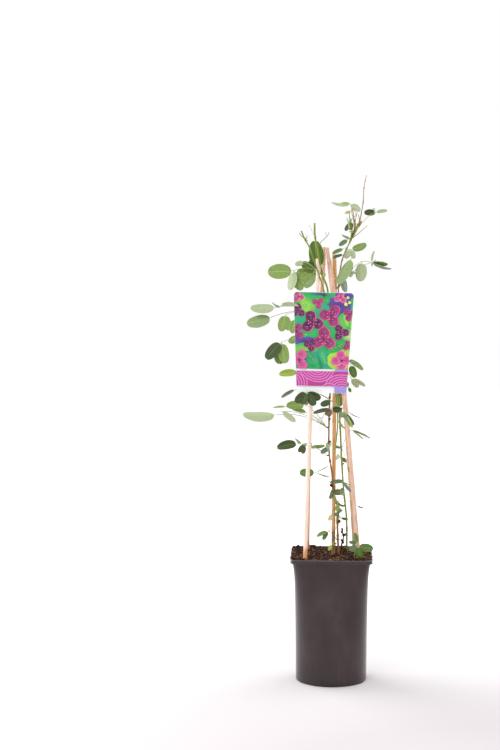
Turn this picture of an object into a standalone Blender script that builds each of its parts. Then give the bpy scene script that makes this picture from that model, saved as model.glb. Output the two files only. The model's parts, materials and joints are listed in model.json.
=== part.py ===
"""A young climbing vine in a square-topped plastic pot, held up by five wooden canes.

Four canes stand in the corners of the pot and lean together at the top, and a fifth
stands in the middle. Three stems climb between them. Short spurs on the stems carry
long-stalked leaves, each with a few oval leaflets that spread from the stalk's end.
Units are metres, +Z is up and the viewer stands on the -Y side. The origin is the
centre of the pot's flat underside. Places along the plant are given in millimetres.
"""

import math
import random

import bmesh
import bpy
from mathutils import Matrix, Vector, noise
from mathutils.bvhtree import BVHTree

MM = 0.001
GAP = 0.0003  # clearance between neighbouring pieces
MERGE = 0.00001  # points closer than this are one
SMOOTH_ANGLE = math.radians(40)  # edges that turn by less are shaded smooth

# Pot: a square top with round corners that runs down to a round foot
POT_HEIGHT = 0.2155
POT_TURN = math.radians(-2.6)  # the square top stands slightly turned about Z
POT_CORNER_RADIUS = 0.0100
POT_FOOT_RADIUS = 0.0598
POT_FOOT_ROUNDING = 0.0020
POT_SQUARING = 1.8  # the section turns square mostly near the top: a power of the height
POT_LEAN = 0.0019  # the straight sides lean out by this from foot to shoulder
POT_FLARE = 0.0032  # and flare out by this much more under the rim
POT_FLARE_POWER = 12
POT_WALL = 0.0015
POT_FLOOR = 0.0020
POT_CORNER_STEPS = 6
POT_BODY_LEVELS = 5
FOOT_FACE_ANGLE = math.radians(6)  # half the arc of the foot that a flat side runs into
RIM_HEIGHT = 0.0070
RIM_OVERHANG = 0.0042
RIM_ROUNDING = 0.0008
RIM_LIP = 0.0022  # width of the rim's top
RIM_LEDGE = 0.0015  # the inside steps out this far above the shoulder

# Soil, filled to just under the rim
SOIL_LEVEL = 0.2130
SOIL_BUMP = 0.0016
SOIL_BUMP_SPACING = 0.011
SOIL_RINGS = 4
SOIL_CALM_RADIUS = 0.009  # the bumps reach their full height this far from a stem's foot
SOIL_BRIM_INSET = 0.0004  # the surface ends this far inside the plug's side
SOCKET_DEPTH = 0.035
SOCKET_SIDES = 12

# Canes: foot on the soil, two places on the way up, and tip, in millimetres
CANE_RADIUS = 0.0030
CANE_STEPS = 3
CANES = {
    "cane_front_left": ((-46, -47, 213), (-37, -29, 479), (-26, -16, 661), (-25, -12, 713)),
    "cane_back_left": ((-39, 47, 213), (-34, 33, 473), (-17, 19, 660), (-13, 14, 732)),
    "cane_front_right": ((44, -46, 213), (21, -27, 478), (1, -14, 661), (-6, -10, 713)),
    "cane_back_right": ((42, 47, 213), (22, 30, 473), (0, 13, 660), (-9, 6, 731)),
    "cane_middle": ((3, -2, 213), (4, -1, 476), (4, 0, 660), (3, 0, 720)),
}

# Stems: the places they pass, in millimetres, and their radii at the foot and the tip
STEM_STEPS = 3
STEMS = {
    "woody_stem": (
        1.9,
        0.9,
        (
            (12, -3, 213.3), (10, -4, 256), (9, -8, 299), (3, -10, 318), (0, -9, 352), (-5, -6, 390),
            (-5, -4, 440), (-2, 8, 500), (6, 9, 560), (11, 4, 615), (10, -1, 666), (16, -4, 711),
            (30, -6, 743), (44, -8, 772),
        ),
    ),
    "green_stem": (
        1.3,
        1.2,
        (
            (28, 38, 213.3), (27, 32, 269), (21, 24, 325), (17, 17, 382), (14, 12, 437), (10, 19, 490),
            (-1, 20, 545), (-10, 9, 600), (-8, -8, 635), (-9, -15, 663), (-17, -20, 685),
            (-23, -22, 711), (-30, -23, 749), (-31, -24, 772),
        ),
    ),
    "cross_stem": (
        1.0,
        1.2,
        (
            (4, -12, 386), (8, -12, 420), (9, -11, 450), (4, -11, 500), (-6, -11, 560), (-12, -11, 610),
            (-14, -15, 655), (-28, -23, 699), (-39, -24, 731), (-47, -26, 745), (-53, -27, 759),
        ),
    ),
    "top_shoot": (0.9, 0.45, ((44.24, -8.03, 772.5), (50, -9, 806), (51, -10, 829), (55, -12, 851))),
    "dead_twig": (1.3, 0.7, ((19, 20, 213.3), (18, 19, 226), (21, 17, 240), (18, 18, 256))),
    "basal_shoot": (1.0, 0.8, ((36, -50, 213.3), (36, -52, 222), (37, -54, 231))),
}
# Knots, where old leaves grew: their heights in millimetres
KNOTS = {
    "woody_stem": (291, 341, 373, 405, 443, 666, 711, 743),
    "green_stem": (683, 749),
    "cross_stem": (745,),
}
KNOT_SWELL = 1.45
KNOT_REACH = 0.004  # how far from its middle a knot is felt along the stem
BUD_RADIUS = 0.0032  # the red bud cluster where the top shoot leaves the woody stem

# Label: a tapered card that leans on the front left cane, with a tie through its hole
LABEL_TOP_WIDTH = 0.100
LABEL_BOTTOM_WIDTH = 0.083
LABEL_LENGTH = 0.167
LABEL_THICKNESS = 0.0006
LABEL_TOP_CORNER = 0.006
LABEL_BOTTOM_CORNER = 0.002
LABEL_CORNER_STEPS = 4
LABEL_TOP_LEVEL = 0.6570
LABEL_CENTRE_X = -0.0150
LABEL_ROLL = math.radians(1.4)
HOLE_RADIUS = 0.0018
HOLE_DROP = 0.0045
TIE_WIRE_RADIUS = 0.0005
TIE_ROD_RADIUS = 0.0009
TIE_KNOB_RADIUS = 0.0024

# Leaves: stalks are slim tubes, blades are thin, slightly folded plates
STALK_RADIUS = 0.00065
STALK_STEPS = 2
STALK_SAG = 0.10  # how far a stalk bows, as a share of its length
SPUR_LENGTH = 0.0040
SPUR_RADIUS = 0.0011
SPUR_TURNS = (0, 20, -20, 40, -40, 60, -60, 85, -85, 115, -115, 145, -145, 180)  # tried in turn
BLADE_THICKNESS = 0.0006
BLADE_WIDTH_SHARE = 0.56
BLADE_FOLD = 0.10
BLADE_OUTLINE = ((0.40, 0.96), (0.84, 0.80))  # stations and half widths
HUB_RADIUS = 0.0012  # the small swelling that the leaflets of a leaf grow from
SHIFT_STEP = 0.005  # a leaf that would touch its neighbours moves by steps of this
SHIFT_TRIES = 7
SEED = 7

# Foliage masses: the stem that carries each, the spur's height, and its leaves.
# A leaf is the place of its hub and its leaflets. A leaflet is its bearing in the
# front view (0 right, 90 up), its length in millimetres, how far its face turns from
# the viewer and how far it points towards the viewer, all angles in degrees.
MASSES = {
    "foliage_crown": ("woody_stem", 757, (
        ((29, -14, 803), ((180, 32, 72, 5), (168, 16, 60, -10), (-34, 20, 20, 10))),
        ((30, -12, 791), ((195, 11, 35, 0), (75, 7, 40, 0))),
        ((72, 10, 790), ((182, 19, 0, 5), (9, 20, 58, -5), (205, 11, 10, 10), (170, 24, 10, -72))),
        ((33, 18, 773), ((229, 18, 40, -5), (262, 13, 30, 5), (300, 22, 50, -75), (200, 24, 40, -70))),
        ((27, -16, 757), ((98, 25, 78, 0),)),
    )),
    "foliage_upper_right": ("woody_stem", 727, (
        ((30, -16, 728), ((18, 27, 34, 10), (235, 18, 0, 5), (-69, 16, 20, 5))),
        ((17, -30, 730), ((205, 21, 57, 10),)),
        ((17, -30, 720), ((194, 19, 65, 0),)),
    )),
    "foliage_top_back": ("woody_stem", 740, (
        ((27, 26, 744), ((212, 18, 45, 0), (120, 28, 50, -70))),
    )),
    "foliage_right": ("woody_stem", 672, (
        ((31, -26, 715), ((240, 50, 55, 5),)),
        ((48, -8, 708), ((267, 33, 12, 0),)),
        ((66, 6, 706), ((83, 20, 66, 0), (-7, 27, 58, 10), (-21, 35, 77, 0), (-15, 24, 20, -72))),
        ((35, 26, 691), ((187, 14, 0, -10), (247, 11, 20, 0), (310, 28, 40, -72))),
        ((21, 40, 680), ((-86, 25, 41, 0), (200, 28, 40, -70))),
    )),
    "foliage_upper_left": ("cross_stem", 694, (
        ((-65, -14, 693), ((183, 43, 0, 0), (261, 35, 39, 20), (-70, 35, 22, 10))),
        ((-48, -4, 707), ((196, 15, 10, 0),)),
    )),
    "foliage_upper_middle": ("green_stem", 683, (
        ((-25, 2, 694), ((95, 49, 22, 0), (250, 16, 30, -20))),
        ((-27, -8, 694), ((123, 20, 42, 0),)),
        ((-29, 5, 690), ((145, 28, 28, -5), (182, 31, 0, -10), (205, 29, 10, 5), (237, 32, 20, 10),
                          (120, 30, 40, -70))),
        ((-28, 36, 690), ((110, 34, 30, -60), (200, 30, 40, -65))),
    )),
    "foliage_label_left_high": ("cross_stem", 618, (
        ((-94, -12, 632), ((185, 43, 55, 0), (100, 26, 40, -75))),
        ((-101, -12, 616), ((195, 44, 43, 8),)),
        ((-87, -20, 635), ((6, 33, 60, 24),)),
        ((-79, -15, 620), ((255, 29, 10, 0), (-78, 27, 20, 5))),
        ((-62, 4, 612), ((256, 25, 30, 0), (40, 28, 40, -40))),
    )),
    "foliage_label_left_low": ("cross_stem", 575, (
        ((-85, -12, 574), ((226, 38, 28, 5), (264, 37, 0, 0), (-80, 36, 12, 8))),
        ((-51, 8, 582), ((202, 24, 0, 0),)),
        ((-56, 12, 521), ((181, 33, 55, 0), (60, 30, 50, -40))),
    )),
    "foliage_label_right": ("woody_stem", 548, (
        ((25, -2, 544), ((-30, 32, 62, 5),)),
        ((31, 0, 535), ((-71, 23, 0, 0),)),
        ((33, 20, 510), ((-24, 27, 60, 0), (-48, 19, 15, 5))),
        ((28, 6, 497), ((-67, 9, 0, 0), (150, 30, 40, -50))),
    )),
    "foliage_below_label": ("cross_stem", 470, (
        ((-62, -40, 496), ((210, 27, 72, 0),)),
        ((-44, -42, 493), ((222, 25, 0, 5), (250, 22, 10, 15), (-28, 26, 20, 0), (-58, 26, 12, 8))),
        ((-3, -42, 478), ((200, 19, 0, 5),)),
        ((-3, -42, 465), ((191, 31, 73, 0), (222, 15, 0, 20), (250, 14, 20, 10), (-6, 18, 0, 5),
                          (3, 21, 72, -5))),
    )),
    "foliage_below_label_back": ("green_stem", 470, (
        ((19, 40, 492), ((258, 32, 30, 0), (150, 30, 40, -50), (200, 26, 30, -72))),
        ((14, 22, 437), ((-58, 15, 63, 0),)),
    )),
    "foliage_pale_left": ("woody_stem", 430, (
        ((-45, -10, 468), ((179, 32, 45, 5), (100, 26, 30, -75))),
        ((-42, -10, 455), ((164, 28, 68, 0),)),
        ((-92, -12, 452), ((182, 58, 67, 5),)),
        ((-85, -16, 458), ((-35, 29, 50, 5),)),
        ((-77, -4, 465), ((182, 22, 78, 0),)),
    )),
    "foliage_middle_left": ("woody_stem", 383, (
        ((-57, -8, 403), ((187, 36, 51, 5), (100, 26, 50, -75))),
        ((-47, -10, 402), ((235, 16, 0, 0), (262, 16, 10, 5))),
        ((-37, 18, 396), ((5, 26, 55, 0), (-35, 10, 75, 0), (150, 30, 50, -72))),
    )),
    "foliage_middle_front": ("woody_stem", 400, (
        ((-6, -40, 400), ((210, 17, 25, 10), (150, 26, 50, 72))),
    )),
    "foliage_middle_right": ("green_stem", 392, (
        ((2, 32, 396), ((-22, 16, 54, 0), (200, 28, 40, -70))),
        ((33, 4, 425), ((-25, 35, 78, 5), (-38, 26, 74, -5))),
        ((16, 44, 373), ((-32, 15, 30, 0), (195, 24, 40, -68))),
        ((27, 12, 360), ((-55, 12, 30, 0), (20, 10, 60, -30))),
    )),
    "foliage_right_cane": ("cross_stem", 440, (
        ((19, -38, 459), ((-54, 26, 48, 0), (-64, 29, 64, -6), (200, 26, 40, 74))),
        ((26, -38, 460), ((-32, 21, 80, 0),)),
    )),
    "foliage_low_left": ("woody_stem", 338, (
        ((-28, -14, 355), ((182, 27, 0, -8), (30, 25, 76, 10), (-18, 27, 74, 5))),
    )),
    "foliage_low_front": ("woody_stem", 318, (
        ((19, -34, 342), ((181, 19, 58, 0), (-57, 22, 58, 0), (-30, 15, 76, 5))),
        ((19, -34, 325), ((181, 19, 0, 0), (150, 24, 40, 72))),
        ((0, -32, 323), ((245, 11, 0, 0), (-70, 16, 69, 0), (100, 24, 40, 72))),
        ((9, -28, 304), ((268, 13, 0, 0), (-20, 12, 50, 10))),
        ((12, -28, 288), ((195, 10, 10, 5), (80, 9, 30, 0))),
        ((-1, -24, 286), ((249, 12, 0, 0),)),
    )),
    "foliage_low_back": ("green_stem", 300, (
        ((17, 34, 270), ((-17, 14, 45, 0), (210, 26, 40, -68))),
        ((45, 32, 292), ((-25, 13, 62, 0), (-20, 19, 82, 0))),
    )),
    "foliage_foot_left": ("woody_stem", 240, (
        ((-7, -30, 258), ((200, 21, 62, 5), (237, 17, 48, 8), (40, 5, 40, 0))),
        ((0, -24, 234), ((23, 8, 20, 0), (235, 11, 40, 0))),
    )),
    "foliage_foot_right": ("basal_shoot", 228, (
        ((41, -56, 237), ((-8, 26, 0, 5), (-75, 24, 30, 8), (195, 17, 10, 20))),
        ((40, -53, 242), ((105, 18, 38, 5), (170, 14, 50, 10))),
    )),
}

# Leaves behind the label: a fan of leaflets at each hub, set round the back by rule
BACK_MASSES = {"foliage_back_low": ("woody_stem", 512), "foliage_back_high": ("green_stem", 590)}
BACK_LEAVES = 3
BACK_REACH = 50  # millimetres from the stem to a hub
BACK_RISE = 18
BACK_ARC = (68, 128)  # bearings in plan, degrees from +X towards +Y
BACK_LEAFLETS = 4
BACK_LEAFLET_LENGTH = 31

COLOURS = {
    "pot": ((0.062, 0.055, 0.056), 0.45),
    "soil": ((0.045, 0.026, 0.016), 0.95),
    "cane": ((0.70, 0.45, 0.30), 0.6),
    "label": ((0.30, 0.06, 0.22), 0.35),
    "label_tie": ((0.12, 0.02, 0.03), 0.5),
    "woody_stem": ((0.22, 0.11, 0.05), 0.8),
    "green_stem": ((0.20, 0.30, 0.06), 0.6),
    "cross_stem": ((0.22, 0.32, 0.07), 0.6),
    "basal_shoot": ((0.20, 0.30, 0.06), 0.6),
    "top_shoot": ((0.20, 0.10, 0.06), 0.7),
    "dead_twig": ((0.05, 0.025, 0.015), 0.9),
    "foliage": ((0.11, 0.20, 0.05), 0.55),
}


def clear_scene():
    """Remove every object that the scene starts with."""
    for item in list(bpy.data.objects):
        bpy.data.objects.remove(item)


def make_collection(name):
    """Make a collection under the scene's own."""
    collection = bpy.data.collections.new(name)
    bpy.context.scene.collection.children.link(collection)
    return collection


def finish_piece(item, kind, smooth=False):
    """Give a piece its material, and smooth its round sides."""
    colour, roughness = COLOURS[kind]
    material = bpy.data.materials.new(item.name)
    material.use_nodes = True
    shader = material.node_tree.nodes["Principled BSDF"]
    shader.inputs["Base Color"].default_value = (*colour, 1.0)
    shader.inputs["Roughness"].default_value = roughness
    shader.inputs["Metallic"].default_value = 0.0
    item.data.materials.clear()
    item.data.materials.append(material)
    if smooth:
        item.data.shade_smooth()
        item.data.set_sharp_from_angle(angle=SMOOTH_ANGLE)
    return item


def mesh_object(name, bm, collection):
    """Make an object from a bmesh, with its faces pointing out."""
    bmesh.ops.recalc_face_normals(bm, faces=bm.faces)
    mesh = bpy.data.meshes.new(name)
    bm.to_mesh(mesh)
    bm.free()
    item = bpy.data.objects.new(name, mesh)
    collection.objects.link(item)
    return item


def evaluated_mesh(item):
    """Return an object's mesh with its modifiers applied."""
    bpy.context.view_layer.update()
    return bpy.data.meshes.new_from_object(item.evaluated_get(bpy.context.evaluated_depsgraph_get()))


def spline_points(stations, steps):
    """Run a smooth curve through the stations, with a number of steps between two."""
    ends = [stations[0] * 2 - stations[1], *stations, stations[-1] * 2 - stations[-2]]
    points = []
    for index in range(1, len(stations)):
        before, start, end, after = ends[index - 1:index + 3]
        for step in range(steps):
            t = step / steps
            points.append(0.5 * (2 * start + (end - before) * t
                                 + (2 * before - 5 * start + 4 * end - after) * t * t
                                 + (3 * start - before - 3 * end + after) * t * t * t))
    points.append(stations[-1])
    return points


def tube(name, points, radii, collection, resolution=2):
    """Make a closed tube along a path, from a curve with a round bevel."""
    curve = bpy.data.curves.new(name, "CURVE")
    curve.dimensions = "3D"
    curve.bevel_depth = 1.0
    curve.bevel_resolution = resolution
    curve.use_fill_caps = True
    spline = curve.splines.new("POLY")
    spline.points.add(len(points) - 1)
    for place, point, radius in zip(spline.points, points, radii):
        place.co = (*point, 1.0)
        place.radius = radius
    guide = bpy.data.objects.new(name + "_path", curve)
    collection.objects.link(guide)
    mesh = evaluated_mesh(guide)
    bpy.data.objects.remove(guide)
    bm = bmesh.new()
    bm.from_mesh(mesh)
    bmesh.ops.remove_doubles(bm, verts=bm.verts, dist=MERGE)
    return mesh_object(name, bm, collection)


class Limb:
    """The centre line and radii of a cane or a stem."""

    def __init__(self, points, radii):
        self.points = points
        self.radii = radii

    def nearest(self, place):
        """Return the centre line's nearest point and the radius there."""
        best = None
        for index in range(len(self.points) - 1):
            start, end = self.points[index], self.points[index + 1]
            along = end - start
            t = max(0.0, min(1.0, (place - start).dot(along) / along.length_squared))
            point = start + along * t
            distance = (place - point).length
            if best is None or distance < best[0]:
                radius = self.radii[index] + (self.radii[index + 1] - self.radii[index]) * t
                best = (distance, point, radius)
        return best

    def at_height(self, height):
        """Return the centre line's point and the radius at a height."""
        for index in range(len(self.points) - 1):
            start, end = self.points[index], self.points[index + 1]
            if start.z <= height <= end.z:
                t = (height - start.z) / (end.z - start.z)
                return start.lerp(end, t), self.radii[index] * (1 - t) + self.radii[index + 1] * t
        return self.points[-1], self.radii[-1]


def pot_section(level, inset):
    """Outline of the pot at a level: round at the foot, square with round corners at the top."""
    height = min(1.0, level / (POT_HEIGHT - RIM_HEIGHT))
    half = POT_FOOT_RADIUS + POT_LEAN * height + POT_FLARE * height ** POT_FLARE_POWER - inset
    corner = POT_CORNER_RADIUS - inset
    outline = []
    for quarter in range(4):
        turn = Matrix.Rotation(POT_TURN + quarter * math.pi / 2, 2)
        for step in range(POT_CORNER_STEPS + 1):
            share = step / POT_CORNER_STEPS
            top_angle = share * math.pi / 2
            foot_angle = FOOT_FACE_ANGLE + share * (math.pi / 2 - 2 * FOOT_FACE_ANGLE)
            top = Vector((math.cos(top_angle), math.sin(top_angle))) * corner
            top += Vector((half - corner, half - corner))
            foot = Vector((math.cos(foot_angle), math.sin(foot_angle))) * half
            outline.append(turn @ foot.lerp(top, height ** POT_SQUARING))
    return outline


def pot_levels():
    """Levels of the pot's wall from the foot to the shoulder, closer together towards the flare."""
    rise = POT_HEIGHT - RIM_HEIGHT - POT_FOOT_ROUNDING
    return [POT_FOOT_ROUNDING + rise * (1 - (1 - step / POT_BODY_LEVELS) ** 2)
            for step in range(POT_BODY_LEVELS + 1)]


def loft(bm, sections):
    """Skin a stack of (outline, level) sections and close both ends."""
    rings = [[bm.verts.new((point.x, point.y, level)) for point in outline] for outline, level in sections]
    count = len(rings[0])
    for lower, upper in zip(rings, rings[1:]):
        for index in range(count):
            after = (index + 1) % count
            bm.faces.new((lower[index], lower[after], upper[after], upper[index]))
    bm.faces.new(rings[0])
    bm.faces.new(rings[-1])
    return rings


def make_pot(collection):
    """Thin-walled pot: outside from the foot to the rim, then down inside past the ledge to the floor."""
    shoulder = POT_HEIGHT - RIM_HEIGHT
    levels = pot_levels()
    profile = [(0.0, POT_FOOT_ROUNDING)]
    profile += [(level, 0.0) for level in levels]
    profile += [
        (shoulder, RIM_ROUNDING - RIM_OVERHANG),
        (shoulder + RIM_ROUNDING, -RIM_OVERHANG),
        (POT_HEIGHT - RIM_ROUNDING, -RIM_OVERHANG),
        (POT_HEIGHT, RIM_ROUNDING - RIM_OVERHANG),
        (POT_HEIGHT, RIM_LIP - RIM_ROUNDING - RIM_OVERHANG),
        (POT_HEIGHT - RIM_ROUNDING, RIM_LIP - RIM_OVERHANG),
        (shoulder + RIM_LEDGE, RIM_LIP - RIM_OVERHANG),
        (shoulder + RIM_LEDGE, POT_WALL),
    ]
    profile += [(level, POT_WALL) for level in reversed(levels[1:])]
    profile.append((POT_FLOOR, POT_WALL))
    bm = bmesh.new()
    loft(bm, [(pot_section(level, inset), level) for level, inset in profile])
    return finish_piece(mesh_object("pot", bm, collection), "pot", smooth=True)


def soil_height(place, feet):
    """Height of the crumbly soil surface, level beside the stems' feet."""
    nearest = min((place - foot).length for foot in feet)
    calm = max(0.0, min(1.0, 2.0 * nearest / SOIL_CALM_RADIUS - 1.0))
    spot = Vector((place.x, place.y, 0.0)) / SOIL_BUMP_SPACING
    return SOIL_LEVEL + SOIL_BUMP * calm * noise.noise(spot)


def make_soil(collection, cutters, canes, stems):
    """Soil plug that fills the pot and the wider rim, with a socket for each cane."""
    feet = [limb.points[0].xy for limb in stems.values() if limb.points[0].z < POT_HEIGHT]
    inset = POT_WALL + GAP
    ledge = POT_HEIGHT - RIM_HEIGHT + RIM_LEDGE + GAP
    rim_inset = RIM_LIP - RIM_OVERHANG + GAP
    levels = [POT_FLOOR + GAP, *pot_levels()[1:], ledge]
    sections = [(pot_section(level, inset), level) for level in levels]
    sections += [(pot_section(level, rim_inset), level) for level in (ledge, SOIL_LEVEL - SOIL_BUMP)]
    plug = len(sections)
    brim = pot_section(SOIL_LEVEL, rim_inset + SOIL_BRIM_INSET)
    for ring in range(1, SOIL_RINGS + 1):
        share = 1 - (ring - 1) / SOIL_RINGS
        sections.append(([point * share for point in brim], SOIL_LEVEL))
    bm = bmesh.new()
    rings = loft(bm, sections)
    for ring in rings[plug:]:
        for vert in ring:
            vert.co.z = soil_height(vert.co.xy, feet)
    soil = mesh_object("soil", bm, collection)
    for name, limb in canes.items():
        buried, foot = limb.points[0], limb.points[1]
        along = (foot - buried).normalized()
        path = [buried - along * GAP, foot + along * 3 * CANE_RADIUS]
        radius = (CANE_RADIUS + GAP) / math.cos(math.pi / SOCKET_SIDES)
        socket = tube(name + "_socket", path, [radius] * 2, cutters, (SOCKET_SIDES - 4) // 2)
        socket.display_type = "WIRE"
        socket.hide_render = True
    cut = soil.modifiers.new("Sockets", "BOOLEAN")
    cut.operand_type = "COLLECTION"
    cut.collection = cutters
    cut.solver = "EXACT"
    return finish_piece(soil, "soil")


def cane_limb(stations):
    """A cane's centre line: straight in the soil, then gently bowed to its tip."""
    places = spline_points([Vector(station) * MM for station in stations], CANE_STEPS)
    along = (places[1] - places[0]).normalized()
    points = [places[0] - along * SOCKET_DEPTH, *places]
    return Limb(points, [CANE_RADIUS] * len(points))


def stem_limb(name, neighbours):
    """A stem's tapering centre line, kept clear of the canes and stems beside it."""
    foot_radius, tip_radius, stations = STEMS[name]
    points = spline_points([Vector(station) * MM for station in stations], STEM_STEPS)
    knots = [height * MM for height in KNOTS.get(name, ())]
    radii = []
    for index, point in enumerate(points):
        radius = (foot_radius + (tip_radius - foot_radius) * index / (len(points) - 1)) * MM
        near = min([abs(point.z - knot) for knot in knots], default=1.0)
        radii.append(radius * (KNOT_SWELL if near < KNOT_REACH else 1.0))
    for index in range(1, len(points)):
        for limb in neighbours:
            distance, nearest, reach = limb.nearest(points[index])
            room = reach + radii[index] + 2 * GAP
            if distance < room:
                away = points[index] - nearest
                away.z = 0.0
                points[index] = points[index] + away.normalized() * (room - distance)
    return Limb(points, radii)


def label_outline():
    """Corners of the card, each rounded, from the lower left and counter-clockwise."""
    corners = (
        (-LABEL_BOTTOM_WIDTH / 2, -LABEL_LENGTH, LABEL_BOTTOM_CORNER, 180),
        (LABEL_BOTTOM_WIDTH / 2, -LABEL_LENGTH, LABEL_BOTTOM_CORNER, 270),
        (LABEL_TOP_WIDTH / 2, 0.0, LABEL_TOP_CORNER, 0),
        (-LABEL_TOP_WIDTH / 2, 0.0, LABEL_TOP_CORNER, 90),
    )
    outline = []
    for x, y, radius, start in corners:
        centre = Vector((x - math.copysign(radius, x), y + (radius if y < 0 else -radius)))
        for step in range(LABEL_CORNER_STEPS + 1):
            angle = math.radians(start + 90 * step / LABEL_CORNER_STEPS)
            outline.append(centre + radius * Vector((math.cos(angle), math.sin(angle))))
    return outline


def circle_outline(centre, radius, count):
    """Points of a circle, clockwise, for a hole."""
    angles = [-step * math.tau / count for step in range(count)]
    return [centre + radius * Vector((math.cos(angle), math.sin(angle))) for angle in angles]


def label_frame(cane):
    """Where the card stands: it leans back on the front left cane."""
    top, _ = cane.at_height(LABEL_TOP_LEVEL)
    bottom, _ = cane.at_height(LABEL_TOP_LEVEL - LABEL_LENGTH)
    lean = math.atan2(top.y - bottom.y, top.z - bottom.z)
    turn = Matrix.Rotation(math.pi / 2 - lean, 4, "X") @ Matrix.Rotation(-LABEL_ROLL, 4, "Z")
    frame = Matrix.Translation((LABEL_CENTRE_X, top.y, LABEL_TOP_LEVEL)) @ turn
    inverse = frame.inverted()
    front = max((inverse @ point).z for point in cane.points if bottom.z < point.z < top.z + 0.01)
    seat = max(0.0, front) + CANE_RADIUS + GAP + LABEL_THICKNESS / 2
    return frame @ Matrix.Translation((0.0, 0.0, seat))


def make_label(collection, frame):
    """Flat card cut from its outline, with a punched hole near the top."""
    curve = bpy.data.curves.new("label", "CURVE")
    curve.dimensions = "2D"
    curve.fill_mode = "BOTH"
    curve.extrude = LABEL_THICKNESS / 2
    for outline in (label_outline(), circle_outline(Vector((0.0, -HOLE_DROP)), HOLE_RADIUS, 12)):
        spline = curve.splines.new("POLY")
        spline.points.add(len(outline) - 1)
        for place, point in zip(spline.points, outline):
            place.co = (*point, 0.0, 1.0)
        spline.use_cyclic_u = True
    guide = bpy.data.objects.new("label_outline", curve)
    collection.objects.link(guide)
    mesh = evaluated_mesh(guide)
    bpy.data.objects.remove(guide)
    bm = bmesh.new()
    bm.from_mesh(mesh)
    bmesh.ops.remove_doubles(bm, verts=bm.verts, dist=MERGE)
    bmesh.ops.transform(bm, matrix=frame, verts=bm.verts)
    return finish_piece(mesh_object("label", bm, collection), "label")


def fuse(name, pieces, collection):
    """Join overlapping closed pieces into one body by one Boolean union."""
    base, *others = pieces
    group = make_collection(name + "_pieces")
    for piece in others:
        group.objects.link(piece)
        collection.objects.unlink(piece)
    join = base.modifiers.new("Join", "BOOLEAN")
    join.operation = "UNION"
    join.operand_type = "COLLECTION"
    join.collection = group
    join.solver = "MANIFOLD"
    mesh = evaluated_mesh(base)
    for piece in pieces:
        bpy.data.objects.remove(piece)
    bpy.data.collections.remove(group)
    bm = bmesh.new()
    bm.from_mesh(mesh)
    keep_largest(bm)
    return mesh_object(name, bm, collection)


def keep_largest(bm):
    """Drop loose scraps and sealed hollows: only the body with the most faces stays."""
    unseen = set(bm.faces)
    bodies = []
    while unseen:
        stack = [unseen.pop()]
        body = []
        while stack:
            face = stack.pop()
            body.append(face)
            for edge in face.edges:
                for other in edge.link_faces:
                    if other in unseen:
                        unseen.remove(other)
                        stack.append(other)
        bodies.append(body)
    bodies.sort(key=len)
    for body in bodies[:-1]:
        bmesh.ops.delete(bm, geom=body, context="FACES")


def make_label_tie(collection, frame, stem):
    """Wire tie: a ring round the stem, a pin through the card's hole and a knob in front."""
    hole = frame @ Vector((0.0, -HOLE_DROP, 0.0))
    outward = (frame.to_3x3() @ Vector((0.0, 0.0, 1.0))).normalized()
    _, centre, stem_radius = stem.nearest(hole)
    ring_radius = stem_radius + GAP + 2 * TIE_WIRE_RADIUS
    bpy.ops.mesh.primitive_torus_add(major_radius=ring_radius, minor_radius=TIE_WIRE_RADIUS,
                                     major_segments=10, minor_segments=4)
    ring = bpy.context.object
    ring.data.transform(Matrix.Translation(centre))
    bpy.context.collection.objects.unlink(ring)
    collection.objects.link(ring)
    pin_start = centre + (hole - centre).normalized() * (ring_radius - TIE_WIRE_RADIUS * 0.2)
    knob_centre = hole + outward * (LABEL_THICKNESS / 2 + GAP + TIE_KNOB_RADIUS * 0.9)
    pin = tube("tie_pin", [pin_start, hole, knob_centre], [TIE_ROD_RADIUS] * 3, collection, 1)
    bm = bmesh.new()
    flat = Matrix.Diagonal((1.0, 1.0, 0.9, 1.0))
    spin = frame.to_3x3().to_4x4()
    bmesh.ops.create_uvsphere(bm, u_segments=8, v_segments=5, radius=TIE_KNOB_RADIUS,
                              matrix=Matrix.Translation(knob_centre) @ spin @ flat)
    knob = mesh_object("tie_knob", bm, collection)
    return finish_piece(fuse("label_tie", [ring, pin, knob], collection), "label_tie", smooth=True)


def blade(start, end, normal, collection):
    """One leaflet: a thin plate with an oval outline, folded a little along its middle."""
    along = end - start
    length = along.length
    along.normalize()
    across = along.cross(normal).normalized()
    face = across.cross(along).normalized()
    half = length * BLADE_WIDTH_SHARE / 2
    bm = bmesh.new()
    circle = bmesh.ops.create_circle(bm, cap_ends=True, segments=2 * len(BLADE_OUTLINE) + 2, radius=1.0)
    rim = circle["verts"]
    sides = [(share, -width) for share, width in BLADE_OUTLINE]
    sides = [(0.0, 0.0), *sides, (1.0, 0.0), *[(share, -width) for share, width in reversed(sides)]]
    for vert, (share, width) in zip(rim, sides):
        lift = abs(width) * half * BLADE_FOLD
        vert.co = start + along * length * share + across * half * width + face * lift
    bmesh.ops.connect_verts(bm, verts=[rim[0], rim[len(BLADE_OUTLINE) + 1]])
    bmesh.ops.recalc_face_normals(bm, faces=bm.faces)
    bmesh.ops.solidify(bm, geom=bm.faces[:], thickness=BLADE_THICKNESS)
    return mesh_object("blade", bm, collection)


def leaflet_blade(hub, leaflet, collection):
    """The blade of one leaflet, its root sunk in the hub."""
    bearing, length, turn, towards = leaflet
    length *= MM
    bearing, turn, towards = map(math.radians, (bearing, turn, towards))
    along = Vector((math.cos(bearing) * math.cos(towards), -math.sin(towards),
                    math.sin(bearing) * math.cos(towards)))
    viewer = Vector((0.0, -1.0, 0.0))
    flat = (viewer - along * viewer.dot(along)).normalized()
    normal = Matrix.Rotation(turn, 3, along) @ flat
    return blade(hub, hub + along * length, normal, collection)


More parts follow.
